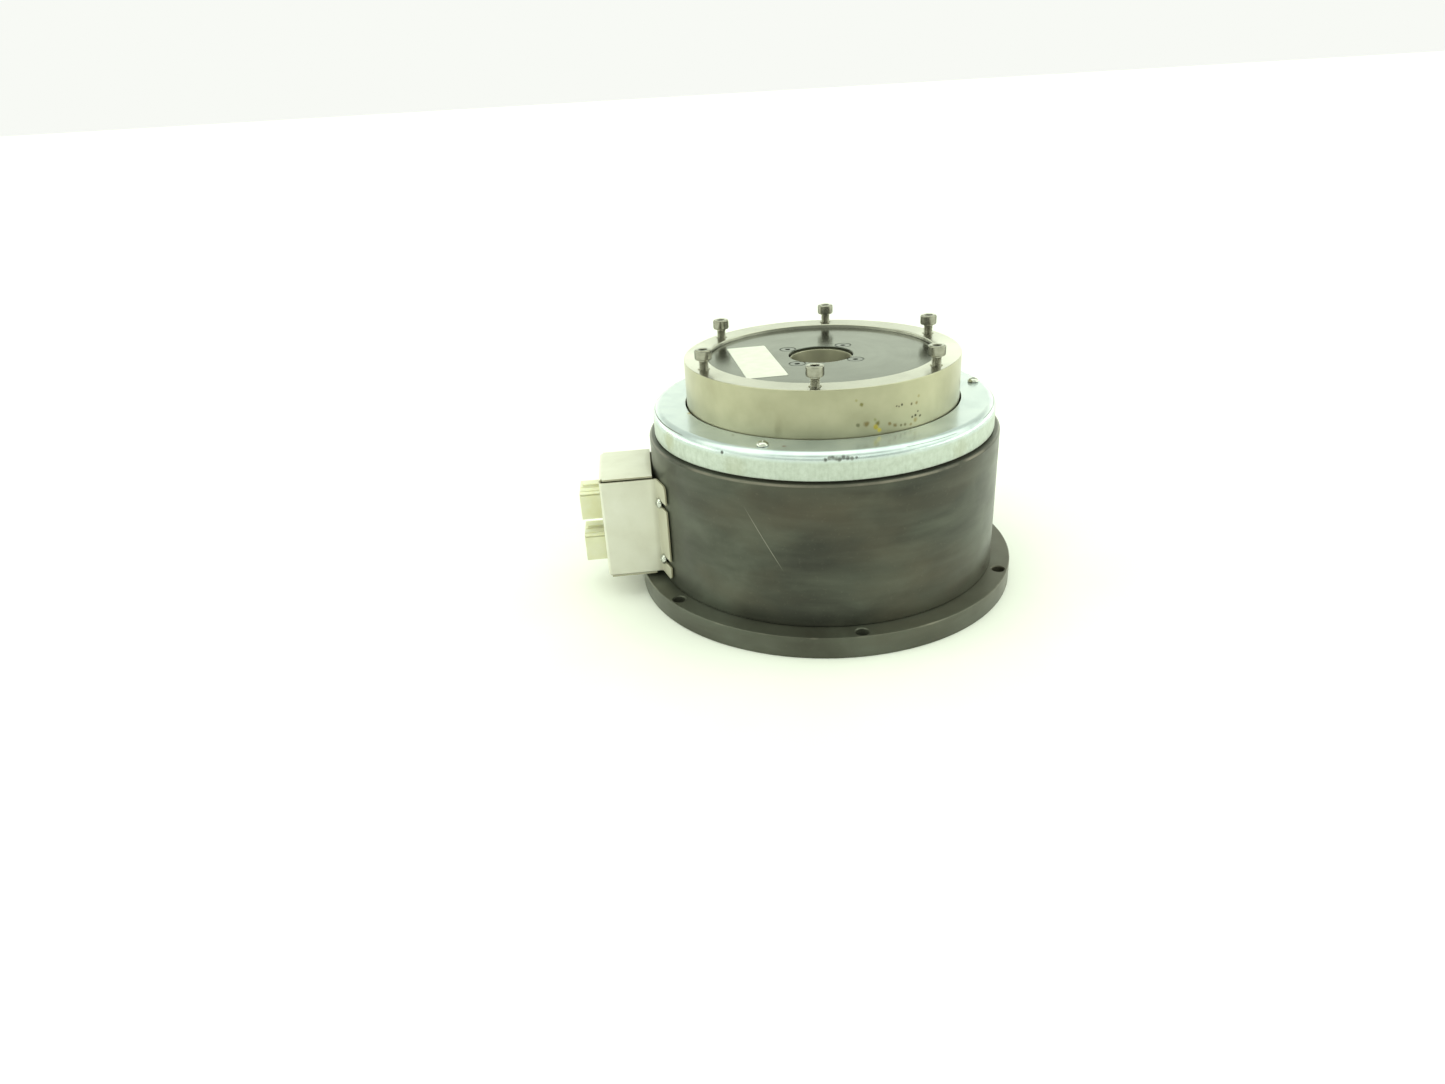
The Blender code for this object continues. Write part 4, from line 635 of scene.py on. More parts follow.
# base flange
flange = {
    "radius": 104.76, "thick": 11.6, "bore": 17.3, "recess": 20.3, "recessDeep": 2.6, "edge": 0.55,
    "holeRadius": 3.3, "holeCircle": 100.0, "holeStart": 30, "holeCount": 6, "holeRim": 0.5,
    "postHead": 4.55, "postSeat": 5.7, "postShank": 2.8, "postCircle": 26.65,
    "shellHead": 3.7, "shellSeat": 4.7, "shellShank": 2.3, "shellCircle": 91.2, "screwStart": 45,
}
section = sectionOf(flange, [
    ("recess", 0, 0.2), ("radius", 0, 0.5), ("radius", "thick", "edge"),
    ("bore", "thick", 0.3), ("bore", "recessDeep", 0), ("recess", "recessDeep", 0)])
tools = []
for k in range(flange["holeCount"]):
    spot = polar(flange["holeCircle"], flange["holeStart"] + 60 * k)
    tools.append(moved(drill(flange["holeRadius"], -1, flange["thick"], flange["holeRim"]), spot))
for k in range(4):
    spin = flange["screwStart"] + 90 * k
    for name in ("post", "shell"):
        head, seat, shank = (flange[name + part] for part in ("Head", "Seat", "Shank"))
        stepped = [(head, -1), (head, seat), (shank, seat), (shank, flange["thick"] + 1)]
        tools.append(moved(turn(stepped, steps=32, closed=False), polar(flange[name + "Circle"], spin)))
form = combine(turn(section, turnSteps), tools)
settle(meshFrom(form, "baseFlange", flangeFinish), "baseFlange", "frame", "base_flange")
print("flange made")

# connector box, drawn facing +X and turned half round at the end; a flap is (outer face, back edge).
# Its sizes stand here because the shell's holes need them
box = {
    "front": 123.5, "halfWidth": 21.5, "sheet": 1.0, "bend": 1.8, "tightBend": 0.8, "edge": 0.12,
    "bottom": 15.0, "top": 69.4, "topFlap": (71.3, 95.2), "bottomFlap": (13.7, 97.0),
    "windowWide": 10.3, "windowTall": 7.8, "power": 52.2, "signal": 27.3,
    "tabFace": 94.7, "tabTurn": 17.17, "tabEnd": 6.64, "tabCorner": 3.0,
    "slotTall": 1.8, "slotEnd": -4.46, "screwAlong": -2.66, "screwHeights": (24.2, 57.2), "screwGap": 0.1,
}

# outer shell
shell = {
    "radius": 94.4, "bottom": 11.9, "rim": 87.0, "chamfer": 1.2, "bore": 88.0,
    "stop": 85.2, "stopHeight": 82.3, "spigot": 90.36, "spigotTop": 100.6, "lip": 78.0, "lipBottom": 92.0,
    "leadHole": 6.5, "leadHeight": 24.0, "leadRun": (80, 99), "tabThread": 1.8, "threadRun": (89, 99),
}
section = sectionOf(shell, [
    ("bore", "bottom", 0.2), ("radius", "bottom", 0.35),
    ("radius", shell["rim"] - shell["chamfer"], 0.4), (shell["radius"] - shell["chamfer"], "rim", 0.4),
    ("spigot", "rim", 0), ("spigot", "spigotTop", 0.3), ("lip", "spigotTop", 0.3), ("lip", "lipBottom", 0),
    ("stop", "lipBottom", 0), ("stop", "stopHeight", 0), ("bore", "stopHeight", 0)], steps=3)
sideways = Matrix.Rotation(math.radians(90), 3, "Y")
tools = [moved(drill(shell["leadHole"], *shell["leadRun"]), (0, 0, shell["leadHeight"]), 180, sideways)]
for side in (1, -1):
    for level in box["screwHeights"]:
        thread = drill(shell["tabThread"], *shell["threadRun"], steps=20)
        moved(thread, (0, side * box["screwAlong"], level), 0, sideways)
        tools.append(moved(thread, spin=180 + side * box["tabTurn"]))
form = combine(turn(section, turnSteps), tools)
settle(meshFrom(form, "outerShell", shellFinish), "outerShell", "frame", "outer_shell")
print("shell made")

# dust cover, pressed sheet: its roll wanders slightly round the rim
cover = {
    "radius": 91.45, "bottom": 88.0, "top": 101.9, "opening": 73.6, "sheet": 1.0, "roll": 4.2,
    "wander": 0.07, "wanderFrom": 84, "wanderRun": 6,
    "screwHole": 1.7, "screwCircle": 84.36, "screwSpins": (0, 120, 240),
}


# a few slow waves round the cover, from nothing on its flat top to the whole of them at its edge
def coverWander(radius, level):
    share = cover["wander"] * max(0.0, min(1.0, (radius - cover["wanderFrom"]) / cover["wanderRun"]))
    return (lambda a: radius + share * (math.sin(3 * a + 1.1) + 0.6 * math.sin(7 * a)),
            lambda a: level + share * (math.sin(5 * a + 0.4) - 1.0))


inside = cover["radius"] - cover["sheet"]
under = cover["top"] - cover["sheet"]
outline = sectionOf(cover, [
    ("opening", under, 0.2), (inside, under, cover["roll"] - cover["sheet"]), (inside, "bottom", 0.2),
    ("radius", "bottom", 0.3), ("radius", "top", "roll"), ("opening", "top", 0.35)], steps=9)
tools = []
for spin in cover["screwSpins"]:
    hole = drill(cover["screwHole"], under - 1, cover["top"] + 0.5, steps=24)
    tools.append(moved(hole, polar(cover["screwCircle"], spin)))
form = combine(turn([coverWander(*point) for point in outline], turnSteps), tools)
settle(meshFrom(form, "dustCover", coverFinish), "dustCover", "frame", "dust_cover")
print("cover made")

# turned ring that carries the load
ring = {
    "outside": 72.85, "inside": 60.45, "bottom": 95.0, "top": 125.8, "edge": 0.5, "faceDeep": 0.2,
    "shoulder": 54.05, "shoulderTop": 99.7,
    "holeRadius": 2.8, "holeBottom": 114.0, "holeRim": 0.45, "holeCircle": 66.675, "holeStart": 16.6,
}
section = sectionOf(ring, [
    ("shoulder", "bottom", 0.2), ("outside", "bottom", 0.3), ("outside", "top", "edge"),
    ("inside", "top", "edge"), ("inside", "shoulderTop", 0.3), ("shoulder", "shoulderTop", 0.2)])
tools = [moved(drill(ring["holeRadius"], ring["holeBottom"], ring["top"], ring["holeRim"]),
               polar(ring["holeCircle"], ring["holeStart"] + 60 * k)) for k in range(6)]
form = combine(turn(section, turnSteps), tools)
# the top face and the bore take the paler copy of the stainless, whose paler tone is painted light
for side in form.faces:
    middle = side.calc_center_median()
    isTop = side.normal.z > 0.9 and middle.z > (ring["top"] - ring["faceDeep"]) * mm
    isBore = abs(middle.xy.length - ring["inside"] * mm) < ring["edge"] * mm
    side.material_index = 1 if isTop or isBore else 0
mesh = meshFrom(form, "rotorRing", ringFinish)
mesh.materials.append(faceFinishWithPaintedLight)
settle(mesh, "rotorRing", "rotor", "rotor_ring")

# fixed disc inside the ring
disc = {
    "outside": 59.87, "bore": 17.0, "bottom": 119.8, "top": 123.8, "edge": 0.4,
    "screwCircle": 21.6, "screwStart": 45, "sinkTop": 4.5, "sinkFoot": 2.3, "sinkDrop": 0.3,
}
section = sectionOf(disc, [
    ("bore", "bottom", 0.2), ("outside", "bottom", 0.3), ("outside", "top", "edge"), ("bore", "top", 0.35)])
sinkLevel = disc["top"] - disc["sinkDrop"]
sink = [(disc["sinkFoot"], disc["bottom"] - 1),
        (disc["sinkFoot"], sinkLevel - disc["sinkTop"] + disc["sinkFoot"]),
        (disc["sinkTop"], sinkLevel), (disc["sinkTop"] + 0.2, disc["top"] + 1)]
tools = [moved(turn(sink, steps=40, closed=False), polar(disc["screwCircle"], disc["screwStart"] + 90 * k))
         for k in range(4)]
form = combine(turn(section, turnSteps), tools)
settle(meshFrom(form, "topDisc", discFinish), "topDisc", "frame", "top_disc")

# thin tube that lines the bore
sleeve = {
    "inside": 15.8, "outside": 16.95, "collar": 20.0, "bottom": 0.3, "collarTop": 2.3, "top": 122.3,
    "neck": 16.68, "neckFoot": 119.2, "steps": 128,
}
section = sectionOf(sleeve, [
    ("inside", "bottom", 0.3), ("collar", "bottom", 0.2), ("collar", "collarTop", 0.2),
    ("outside", "collarTop", 0), ("outside", "neckFoot", 0), ("neck", "neckFoot", 0),
    ("neck", "top", 0.3), ("inside", "top", 0.3)], steps=3)
form = turn(section, sleeve["steps"])
settle(meshFrom(form, "boreSleeve", sleeveFinish), "boreSleeve", "frame", "bore_sleeve")
print("ring, disc and sleeve made")


# screws, each drawn with its seat at zero and its head upwards

def hexAt(flats):  # radius of a hexagon of this width across flats
    return lambda a: flats / 2 / math.cos((a + math.pi / 6) % (math.pi / 3) - math.pi / 6)


def knurlAt(radius, depth, ridges):
    return lambda a: radius - depth * abs(2 * (a * ridges / math.tau % 1) - 1)


def threadAt(radius, pitch, level):  # teeth half a pitch deep, with flat crests and roots
    def reach(a):
        tooth = abs(2 * ((level / pitch - a / math.tau) % 1) - 1)
        return radius - 0.5 * pitch * max(0.0, min(1.0, 1.5 * tooth - 0.25))
    return reach


def threadedShank(radius, pitch, length, start):
    steps = int((length - start) / pitch * 8)  # eight levels to each pitch
    levels = [-start - (length - start) * k / steps for k in range(steps + 1)]
    section = [(radius, 0.2), (radius, -start)]
    section += [(threadAt(radius, pitch, level), level) for level in levels[1:]]
    section += [(radius * 0.8, -length - 0.01)]
    return turn(section, steps=36, closed=False)


def capScrew(size, shank):
    head, tall, socket = size["head"], size["tall"], size["socket"]
    grip = knurlAt(head, size["knurl"], size["ridges"])
    # up the socket, over the rounded top, down the knurl and under the head
    section = [
        (hexAt(socket), tall - size["socketDeep"]), (hexAt(socket), tall - 0.3), (socket * 0.6, tall),
        (head - 0.7, tall), (head - 0.36, tall - 0.1), (head - 0.16, tall - 0.32),
        (grip, tall - 0.6), (grip, 0.55), (head - 0.15, 0.3), (head - 0.3, 0), (size["shank"] * 0.9, 0)]
    return joined([turn(section, 2 * size["ridges"], closed=False), shank])


def panScrew(size):
    head, tall, shank, length = size["head"], size["tall"], size["shank"], size["length"]
    # the dome, in shares of the head's radius and height
    dome = [(0.2, 1), (0.42, 0.97), (0.63, 0.88), (0.8, 0.72), (0.93, 0.5), (1, 0.28)]
    section = [(head * out, tall * up) for out, up in dome]
    section += [(head, 0.12), (head - 0.1, 0), (shank, 0), (shank, -length + 0.3), (shank * 0.8, -length)]
    arm, half = size["crossReach"], size["crossHalf"]
    cross = [(arm, -half), (arm, half), (half, half)]
    while len(cross) < 12:
        cross += [(-y, x) for x, y in cross[-3:]]
    recess = prism(cross, tall - size["crossDeep"], tall + 0.4, foot=size["crossFoot"])
    return combine(turn(section, steps=48, closed=False), [recess])


def sunkScrew(size):
    head, socket = size["head"], size["socket"]
    # up the socket, over the flat top and its thin edge, down the cone and the shank
    section = [
        (hexAt(socket), -size["socketDeep"]), (hexAt(socket), -0.18), (socket * 0.59, 0),
        (head - 0.15, 0), (head, -0.15), (head, -0.3), (size["shank"], -0.3 - head + size["shank"]),
        (size["shank"], -size["length"])]
    return turn(section, steps=48, closed=False)


# where a screw stands: its seat, how far it was turned, and whether its head is down
def standAt(spot, spin=0.0, flip=False):
    turned = Matrix.Rotation(math.radians(spin), 4, "Z")
    over = Matrix.Rotation(math.pi, 4, "X") if flip else Matrix.Identity(4)
    return Matrix.Translation(Vector(spot) * mm) @ turned @ over


# six load screws, part way in
ringScrew = {
    "head": 4.36, "tall": 5.0, "socket": 4.0, "socketDeep": 2.5, "knurl": 0.14, "ridges": 44,
    "shank": 2.5, "length": 16.0, "pitch": 0.8, "threadStart": 0.9, "seat": 131.0,
    "spins": (12, 47, 5, 31, 22, 54),
}
shank = threadedShank(*(ringScrew[name] for name in ("shank", "pitch", "length", "threadStart")))
mesh = meshFrom(capScrew(ringScrew, shank), "ringScrew", screwFinish)
for k, spin in enumerate(ringScrew["spins"]):
    spot = polar(ring["holeCircle"], ring["holeStart"] + 60 * k, ringScrew["seat"])
    node = f"rotor_ring_screw_{k + 1}"
    settle(mesh, f"ringScrew_{k + 1}", "rotor", node, standAt(spot, spin))

# three pan screws on the cover; those on the box tabs are the same but shorter
panSize = {
    "head": 2.9, "tall": 2.08, "shank": 1.5, "length": 7.0, "tabLength": 5.0,
    "crossReach": 1.55, "crossHalf": 0.36, "crossDeep": 1.35, "crossFoot": 0.45,
}
mesh = meshFrom(panScrew(panSize), "coverScrew", brightScrewFinish)
for k, spin in enumerate(cover["screwSpins"]):
    node = f"dust_cover_screw_{k + 1}"
    spot = polar(cover["screwCircle"], spin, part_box(node)[1].z / mm - panSize["tall"])
    settle(mesh, f"coverScrew_{k + 1}", "frame", node, standAt(spot, 25 + 70 * k))

# four sunk screws in the disc
sunkSize = {"head": 3.95, "socket": 2.5, "socketDeep": 1.6, "shank": 1.98, "length": 11.0}
mesh = meshFrom(sunkScrew(sunkSize), "discScrew", sunkScrewFinish)
for k in range(4):
    node = f"top_disc_screw_{k + 1}"
    spot = polar(disc["screwCircle"], disc["screwStart"] + 90 * k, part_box(node)[1].z / mm)
    settle(mesh, f"discScrew_{k + 1}", "frame", node, standAt(spot, 17 * k))

# cap screws under the flange
underSizes = {
    "post": {"head": 4.25, "tall": 5.0, "socket": 4.0, "socketDeep": 2.5, "knurl": 0.14, "ridges": 44,
             "shank": 2.48, "length": 14.0, "seat": 5.6},
    "shell": {"head": 3.4, "tall": 4.0, "socket": 3.0, "socketDeep": 2.0, "knurl": 0.14, "ridges": 36,
              "shank": 1.98, "length": 14.0, "seat": 4.6},
}
for name, size in underSizes.items():
    radius, length = size["shank"], size["length"]
    plain = [(radius, 0.2), (radius, -length + 0.5), (radius * 0.8, -length)]
    mesh = meshFrom(capScrew(size, turn(plain, steps=32, closed=False)), name + "Screw", blackScrewFinish)
    for k in range(4):
        node = f"{name}_screw_{k + 1}"
        spot = polar(flange[name + "Circle"], flange["screwStart"] + 90 * k, size["seat"])
        settle(mesh, f"{name}Screw_{k + 1}", "frame", node, standAt(spot, 20 * k, flip=True))
print("screws made")


# the box is one sheet: its outer face is drawn as a grid of cells, with the windows and slots left out
tabOuter = box["tabFace"] + box["sheet"]
tabAngle = math.radians(box["tabTurn"])
tabOut = Vector((math.cos(tabAngle), math.sin(tabAngle)))
tabAlong = Vector((-math.sin(tabAngle), math.cos(tabAngle)))
tiny = 1e-6


def tabPoint(along):  # a place on the tab's outer face, this far along it from its middle line
    return tabOut * tabOuter + tabAlong * along


foot = tabPoint((box["halfWidth"] - tabOuter * math.sin(tabAngle)) / math.cos(tabAngle))
halfPath = rounded([
    (*tabPoint(box["tabEnd"]), 0), (foot.x, foot.y, box["tightBend"]),
    (box["front"], box["halfWidth"], box["bend"]), (box["front"], 0, 0)], steps=4, closed=False)
corner = []
cornerCuts = []  # how far each of the corner's columns is cut back
for k in range(5):
    step = math.radians(22.5 * k)
    corner.append(tabPoint(box["tabEnd"] - box["tabCorner"] * (1 - math.cos(step))))
    cornerCuts.append(box["tabCorner"] * (1 - math.sin(step)))
window = Vector((box["front"], box["windowWide"]))
halfPath = corner + [tabPoint(box["slotEnd"])] + halfPath[1:-1] + [window]
tabColumns = len(corner)
path = halfPath + [Vector((point.x, -point.y)) for point in reversed(halfPath)]
bendTop = box["topFlap"][0] - box["bend"]
bendBottom = box["bottomFlap"][0] + box["bend"]
levels = {box["bottom"], bendBottom, bendTop, box["top"]}
for middle in (box["power"], box["signal"]):
    levels |= {middle - box["windowTall"], middle + box["windowTall"]}
for middle in box["screwHeights"]:
    levels |= {middle - box["slotTall"], middle + box["slotTall"]}
for cut in cornerCuts:
    levels |= {box["bottom"] + cut, box["top"] - cut}
levels = sorted(round(level, 3) for level in levels)
count = len(path)
frontFirst = next(k for k, point in enumerate(path) if abs(point.x - box["front"]) < tiny)
frontLast = count - 1 - frontFirst


def cellOpen(column, low, high):
    middle = (low + high) / 2
    if frontFirst <= column < frontLast:
        if middle < bendBottom or middle > bendTop:
            return True
        windowed = abs(path[column].y - box["windowWide"]) < tiny
        return windowed and any(abs(middle - box[name]) < box["windowTall"] for name in ("power", "signal"))
    if column < tabColumns or column >= count - 1 - tabColumns:
        return any(abs(middle - level) < box["slotTall"] for level in box["screwHeights"])
    return False


form = bmesh.new()
grid = {}
made = {}
for column, point in enumerate(path):
    inset = min(column, count - 1 - column)
    cut = cornerCuts[inset] if inset < tabColumns else 0.0
    for level in levels:
        height = round(min(max(level, box["bottom"] + cut), box["top"] - cut), 3)
        if (column, height) not in made:
            made[column, height] = form.verts.new(Vector((point.x, point.y, height)) * mm)
        grid[column, level] = made[column, height]
for column in range(count - 1):
    for low, high in zip(levels, levels[1:]):
        if not cellOpen(column, low, high):
            ends = [grid[column, low], grid[column, high], grid[column + 1, high], grid[column + 1, low]]
            ends = list(dict.fromkeys(ends))
            if len(ends) > 2:
                form.faces.new(ends)
# top and bottom flaps, bent from the front wall
frontColumns = range(frontFirst, frontLast + 1)
for name, side, startLevel in (("topFlap", 1, bendTop), ("bottomFlap", -1, bendBottom)):
    flapOuter, flapBack = box[name]
    row = [grid[k, round(startLevel, 3)] for k in frontColumns]
    for step in range(1, 6):
        turnAngle = math.radians(18 * step)
        x = box["front"] - box["bend"] * (1 - math.cos(turnAngle))
        z = flapOuter - side * box["bend"] * (1 - math.sin(turnAngle))
        nextRow = [form.verts.new(Vector((x, path[k].y, z)) * mm) for k in frontColumns]
        for k in range(len(row) - 1):
            form.faces.new((row[k], nextRow[k], nextRow[k + 1], row[k + 1]))
        row = nextRow
    edgeLeft = form.verts.new(Vector((box["front"] - box["bend"], box["halfWidth"], flapOuter)) * mm)
    edgeRight = form.verts.new(Vector((box["front"] - box["bend"], -box["halfWidth"], flapOuter)) * mm)
    row = [edgeLeft] + row + [edgeRight]
    backRow = [form.verts.new(Vector((flapBack, vert.co.y / mm, flapOuter)) * mm) for vert in row]
    for k in range(len(row) - 1):
        form.faces.new((row[k], backRow[k], backRow[k + 1], row[k + 1]))
bmesh.ops.delete(form, geom=[vert for vert in form.verts if not vert.link_faces], context="VERTS")
bmesh.ops.recalc_face_normals(form, faces=form.faces)
frontFace = max(form.faces, key=lambda face: face.calc_center_median().x)
if frontFace.normal.x < 0:
    bmesh.ops.reverse_faces(form, faces=form.faces)
moved(form, spin=180)
mesh = meshFrom(form, "connectorBox", boxFinish, smoothBelow=40)
mesh.materials.append(edgeFinish)
piece = settle(mesh, "connectorBox", "frame", "connector_box")
thick = piece.modifiers.new("sheet", "SOLIDIFY")
thick.thickness = box["sheet"] * mm
thick.offset = -1.0
thick.use_even_offset = True
thick.material_offset_rim = 1
soften(piece, "edges", box["edge"], above=50)
print("box made")

# pan screws that hold the box tabs to the shell
mesh = meshFrom(panScrew({**panSize, "length": panSize["tabLength"]}), "boxScrew", brightScrewFinish)
outwards = Matrix.Rotation(math.radians(90), 4, "Y")
for node in (f"box_screw_{k + 1}" for k in range(4)):
    low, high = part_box(node)
    centre = (low + high) / 2 / mm
    side = 1 if centre.y > 0 else -1
    level = min(box["screwHeights"], key=lambda height: abs(height - centre.z))
    stand = Matrix.Rotation(math.radians(180 - side * box["tabTurn"]), 4, "Z")
    spot = Vector((tabOuter + box["screwGap"], -side * box["screwAlong"], level))
    stand = stand @ Matrix.Translation(spot * mm) @ outwards
    stand = stand @ Matrix.Rotation(math.radians(20 + 0.6 * level), 4, "Z")  # each cross at its own angle
    settle(mesh, "boxScrew_" + node[-1], "frame", node, stand)

# connectors: moulded shrouds with a raised bar, grooves, a polarising key and contacts; what is added to a
# shroud is sunk a little into it
connector = {
    "halfWidth": 10.0, "halfTall": 7.5, "back": 111.5, "tip": 135.19, "flange": (120.2, 122.2, 1.4),
    "bar": (-5.4, -0.6), "barTall": 1.3, "barRun": (123.6, 133.6), "wall": 1.6, "cavity": 125.7,
    "groove": 0.8, "grooveTop": 7.0, "grooveTall": 0.8, "topGrooves": (0.4, 6.3), "topGrooveHalf": 0.45,
    "keyHalf": 1.2, "keyDeep": 1.1, "keyBack": 2.0, "mouldRadius": 0.28,
    "rowPitch": 4.4, "rowDrop": 0.6, "pinLong": 6.2, "pinTip": 0.9, "pinPoint": 0.4,
}
connectorPins = {"power": {"columns": 4, "rows": 2, "half": 0.5, "pitch": 3.9},
                 "signal": {"columns": 6, "rows": 2, "half": 0.32, "pitch": 2.5}}
wide, tall, wall = connector["halfWidth"], connector["halfTall"], connector["wall"]
cavity, tip, deep = connector["cavity"], connector["tip"], connector["groove"]
near, far, proud = connector["flange"]
for name, pins in connectorPins.items():
    middle = box[name]
    stock = block((connector["back"], -wide, -tall), (tip, wide, tall))
    collar = block((near, -wide - proud, -tall - proud), (far, wide + proud, tall + proud))
    form = combine(stock, [collar], "UNION")
    bar = block((connector["barRun"][0], connector["bar"][0], tall - 0.4),
                (connector["barRun"][1], connector["bar"][1], tall + connector["barTall"]))
    form = combine(form, [bar], "UNION")
    tools = [block((cavity, -wide + wall, -tall + wall), (tip + 1, wide - wall, tall - wall))]
    for side in (1, -1):
        inner, outer = sorted((side * (wide - deep), side * (wide + 1)))
        tools.append(block((far, inner, connector["grooveTop"] - connector["grooveTall"]),
                           (tip + 1, outer, connector["grooveTop"])))
    half = connector["topGrooveHalf"]
    for place in connector["topGrooves"]:
        tools.append(block((far, place - half, tall - deep), (tip + 1, place + half, tall + 2)))
    form = combine(form, tools)
    key = block((cavity - 0.5, -connector["keyHalf"], tall - wall - connector["keyDeep"]),
                (tip - connector["keyBack"], connector["keyHalf"], tall - wall + 0.3))
    form = combine(form, [key], "UNION")
    moved(form, (0, 0, middle), 180)
    mesh = meshFrom(form, name + "Connector", nylonFinish, smoothBelow=30)
    piece = settle(mesh, name + "Connector", "frame", name + "_connector")
    soften(piece, "mouldRadius", connector["mouldRadius"], above=40)
    half, end = pins["half"], connector["pinLong"]
    square = [(-half, -half), (half, -half), (half, half), (-half, half)]
    forms = []
    for row in range(pins["rows"]):
        for column in range(pins["columns"]):
            y = (column - (pins["columns"] - 1) / 2) * pins["pitch"]
            z = (row - (pins["rows"] - 1) / 2) * connector["rowPitch"] - connector["rowDrop"]
            body = prism(square, -0.5, end)
            point = prism(square, end, end + connector["pinTip"], head=connector["pinPoint"])
            forms.append(moved(joined([body, point]), (cavity, y, middle + z), 0, sideways))
    contacts = moved(joined(forms), spin=180)
    settle(meshFrom(contacts, name + "Contacts", contactFinish), name + "Contacts", "frame")
print("connectors made")

# blank sticker on the disc
sticker = {
    "wide": 21.0, "long": 62.6, "corner": 1.2, "thick": 0.12, "gap": 0.01,
    "place": (-35.3, -4.6), "spin": -86.9,
}
halfLong, halfWide = sticker["long"] / 2, sticker["wide"] / 2
signs = ((-1, -1), (1, -1), (1, 1), (-1, 1))
outline = rounded([(x * halfLong, y * halfWide, sticker["corner"]) for x, y in signs])
form = prism(outline, 0, sticker["thick"])
moved(form, (*sticker["place"], disc["top"] + sticker["gap"]), sticker["spin"])
settle(meshFrom(form, "blankSticker", stickerFinish), "blankSticker", "frame")
print("sticker made")

# nodes that stay as the CAD drew them, dressed by what they are made of
slotFinishes = {
    "blackened_steel": postFinish, "black_screw_steel": blackScrewFinish, "core_iron": ironFinish,
    "enamelled_copper": copperFinish, "bearing_steel": bearingFinish, "black_rubber": rubberFinish,
    "lead_insulation": leadFinish,
}
for name, node in frame["nodes"].items():
    if not node.hide_render:
        finish = slotFinishes[slotOf[name]]
        node.data.materials.clear()
        node.data.materials.append(finish)
print("CAD nodes dressed")

# floor: pale matt laminate, with a faint cloudy mottle
floor = {"size": 400.0, "drop": 0.02, "light": "#f8f8f7", "dark": "#f4f4f2"}
finish, add = startFinish("paleLaminate")
place = add("TexCoord").outputs["Object"]
mottle = add("TexNoise", {"Vector": place, "Scale": scaleFor(90), "Detail": 3})
colour = add("ValToRGB", {0: mottle}, stops=[(0.3, floor["dark"]), (0.7, floor["light"])])
shader = add("BsdfPrincipled", {"Base Color": colour, "Roughness": 0.6, "IOR": 1.45})
add("OutputMaterial", {0: shader})
form = bmesh.new()
bmesh.ops.create_grid(form, x_segments=4, y_segments=4, size=floor["size"] / 2)
moved(form, (0, 0, -floor["drop"]))
floorPiece = bpy.data.objects.new("paleFloor", meshFrom(form, "paleFloor", finish))
bpy.context.scene.collection.objects.link(floorPiece)

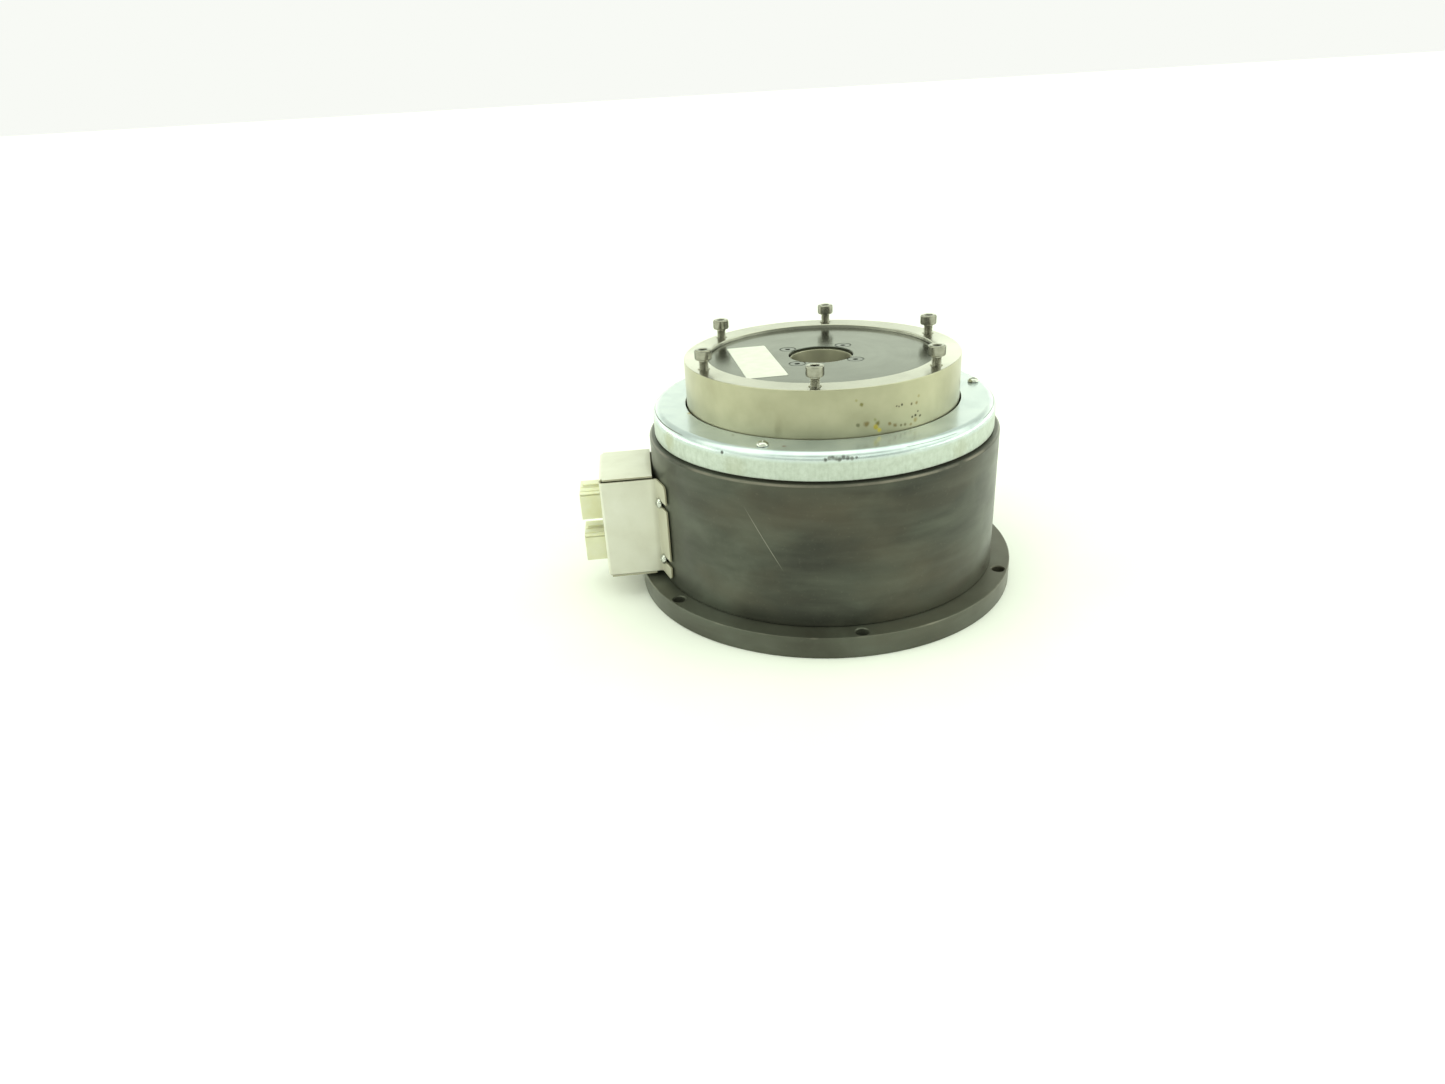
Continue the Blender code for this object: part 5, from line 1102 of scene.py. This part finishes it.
# light: a pale tent with a wide soft lamp overhead and a low strip lamp at each side; its walls change by
# the angle round from behind through left, camera side and right: (share of a turn, brightness)
light = {
    "tint": "#f5ffea", "room": 0.55, "lamp": 1.35, "lampHalf": 0.40, "lampEdge": (1.3, 0.7),
    "lampRise": (0.5, 0.7), "fill": 0.45, "fillWidth": 120.0, "backdrop": "#f8faf5",
    "band": [(0.0, 1.0), (0.06, 0.7), (0.15, 0.6), (0.24, 1.2), (0.36, 1.25), (0.5, 1.4), (0.64, 1.6),
             (0.72, 1.8), (0.78, 1.5), (0.86, 0.6), (0.93, 0.9), (1.0, 1.0)],
    "walls": [(0.0, 1.6), (0.18, 1.6), (0.26, 1.4), (0.33, 0.9), (0.45, 0.6), (0.55, 0.5), (0.63, 0.7),
              (0.70, 1.2), (0.80, 1.4), (0.92, 1.8), (1.0, 1.6)],
    "strips": [(0.0, 1.4), (0.08, 2.0), (0.13, 4.6), (0.18, 4.6), (0.25, 3.6), (0.29, 2.0), (0.34, 0.9),
               (0.45, 0.6), (0.55, 0.5), (0.62, 0.8), (0.67, 3.2), (0.71, 4.6), (0.81, 4.6), (0.87, 2.0),
               (1.0, 1.4)],
    # each one's top and fade, in degrees up
    "tops": {"band": (34.0, 10.0), "walls": (18.0, 2.6), "strips": (5.0, 2.5)},
}
tint = toLinear(light["tint"])
fillData = bpy.data.lights.new("ceilingFill", "SUN")
fillData.energy = light["fill"]
fillData.angle = math.radians(light["fillWidth"])
fillData.color = tint[:3]
bpy.context.scene.collection.objects.link(bpy.data.objects.new("ceilingFill", fillData))
world = bpy.data.worlds.new("studio")
world.use_nodes = True
bpy.context.scene.world = world
world.node_tree.nodes.clear()
add = partial(addNode, world.node_tree)
direction = add("SeparateXYZ", {0: add("TexCoord").outputs["Generated"]})
across, depth, rise = direction.outputs
toCamera = add("Math", {0: depth, 1: -1.0}, operation="MULTIPLY")
angle = add("Math", {0: across, 1: toCamera}, operation="ARCTAN2")
around = add("MapRange", {"Value": angle, "From Min": -math.pi, "From Max": math.pi})
strength = light["room"]
for name, (top, fade) in light["tops"].items():
    brightest = max(level for share, level in light[name])
    stops = [(share, level / brightest) for share, level in light[name]]
    levels = add("ValToRGB", {0: around}, stops=stops)
    shine = add("Math", {0: levels, 1: brightest}, operation="MULTIPLY")
    upper, lower = math.sin(math.radians(top + fade)), math.sin(math.radians(top))
    below = add("MapRange", {"Value": rise, "From Min": upper, "From Max": lower})
    strength = add("Mix", {0: below, 2: strength, 3: shine}, data_type="FLOAT")
beside = add("Math", {0: depth}, operation="ABSOLUTE")
outer, inner = (light["lampHalf"] * share for share in light["lampEdge"])
strip = add("MapRange", {"Value": beside, "From Min": outer, "From Max": inner})
dim, full = light["lampRise"]
overhead = add("MapRange", {"Value": rise, "From Min": dim, "From Max": full, "To Max": light["lamp"]})
strength = add("Math", {0: strip, 1: overhead, 2: strength}, operation="MULTIPLY_ADD")
room = add("Background", {"Color": tint, "Strength": strength})
plain = add("Background", {"Color": toLinear(light["backdrop"]), "Strength": 1.0})
seen = add("LightPath").outputs["Is Camera Ray"]
surround = add("MixShader", {0: seen, 1: room, 2: plain})
add("OutputWorld", {0: surround})
print("floor and light made")

bpy.context.view_layer.update()
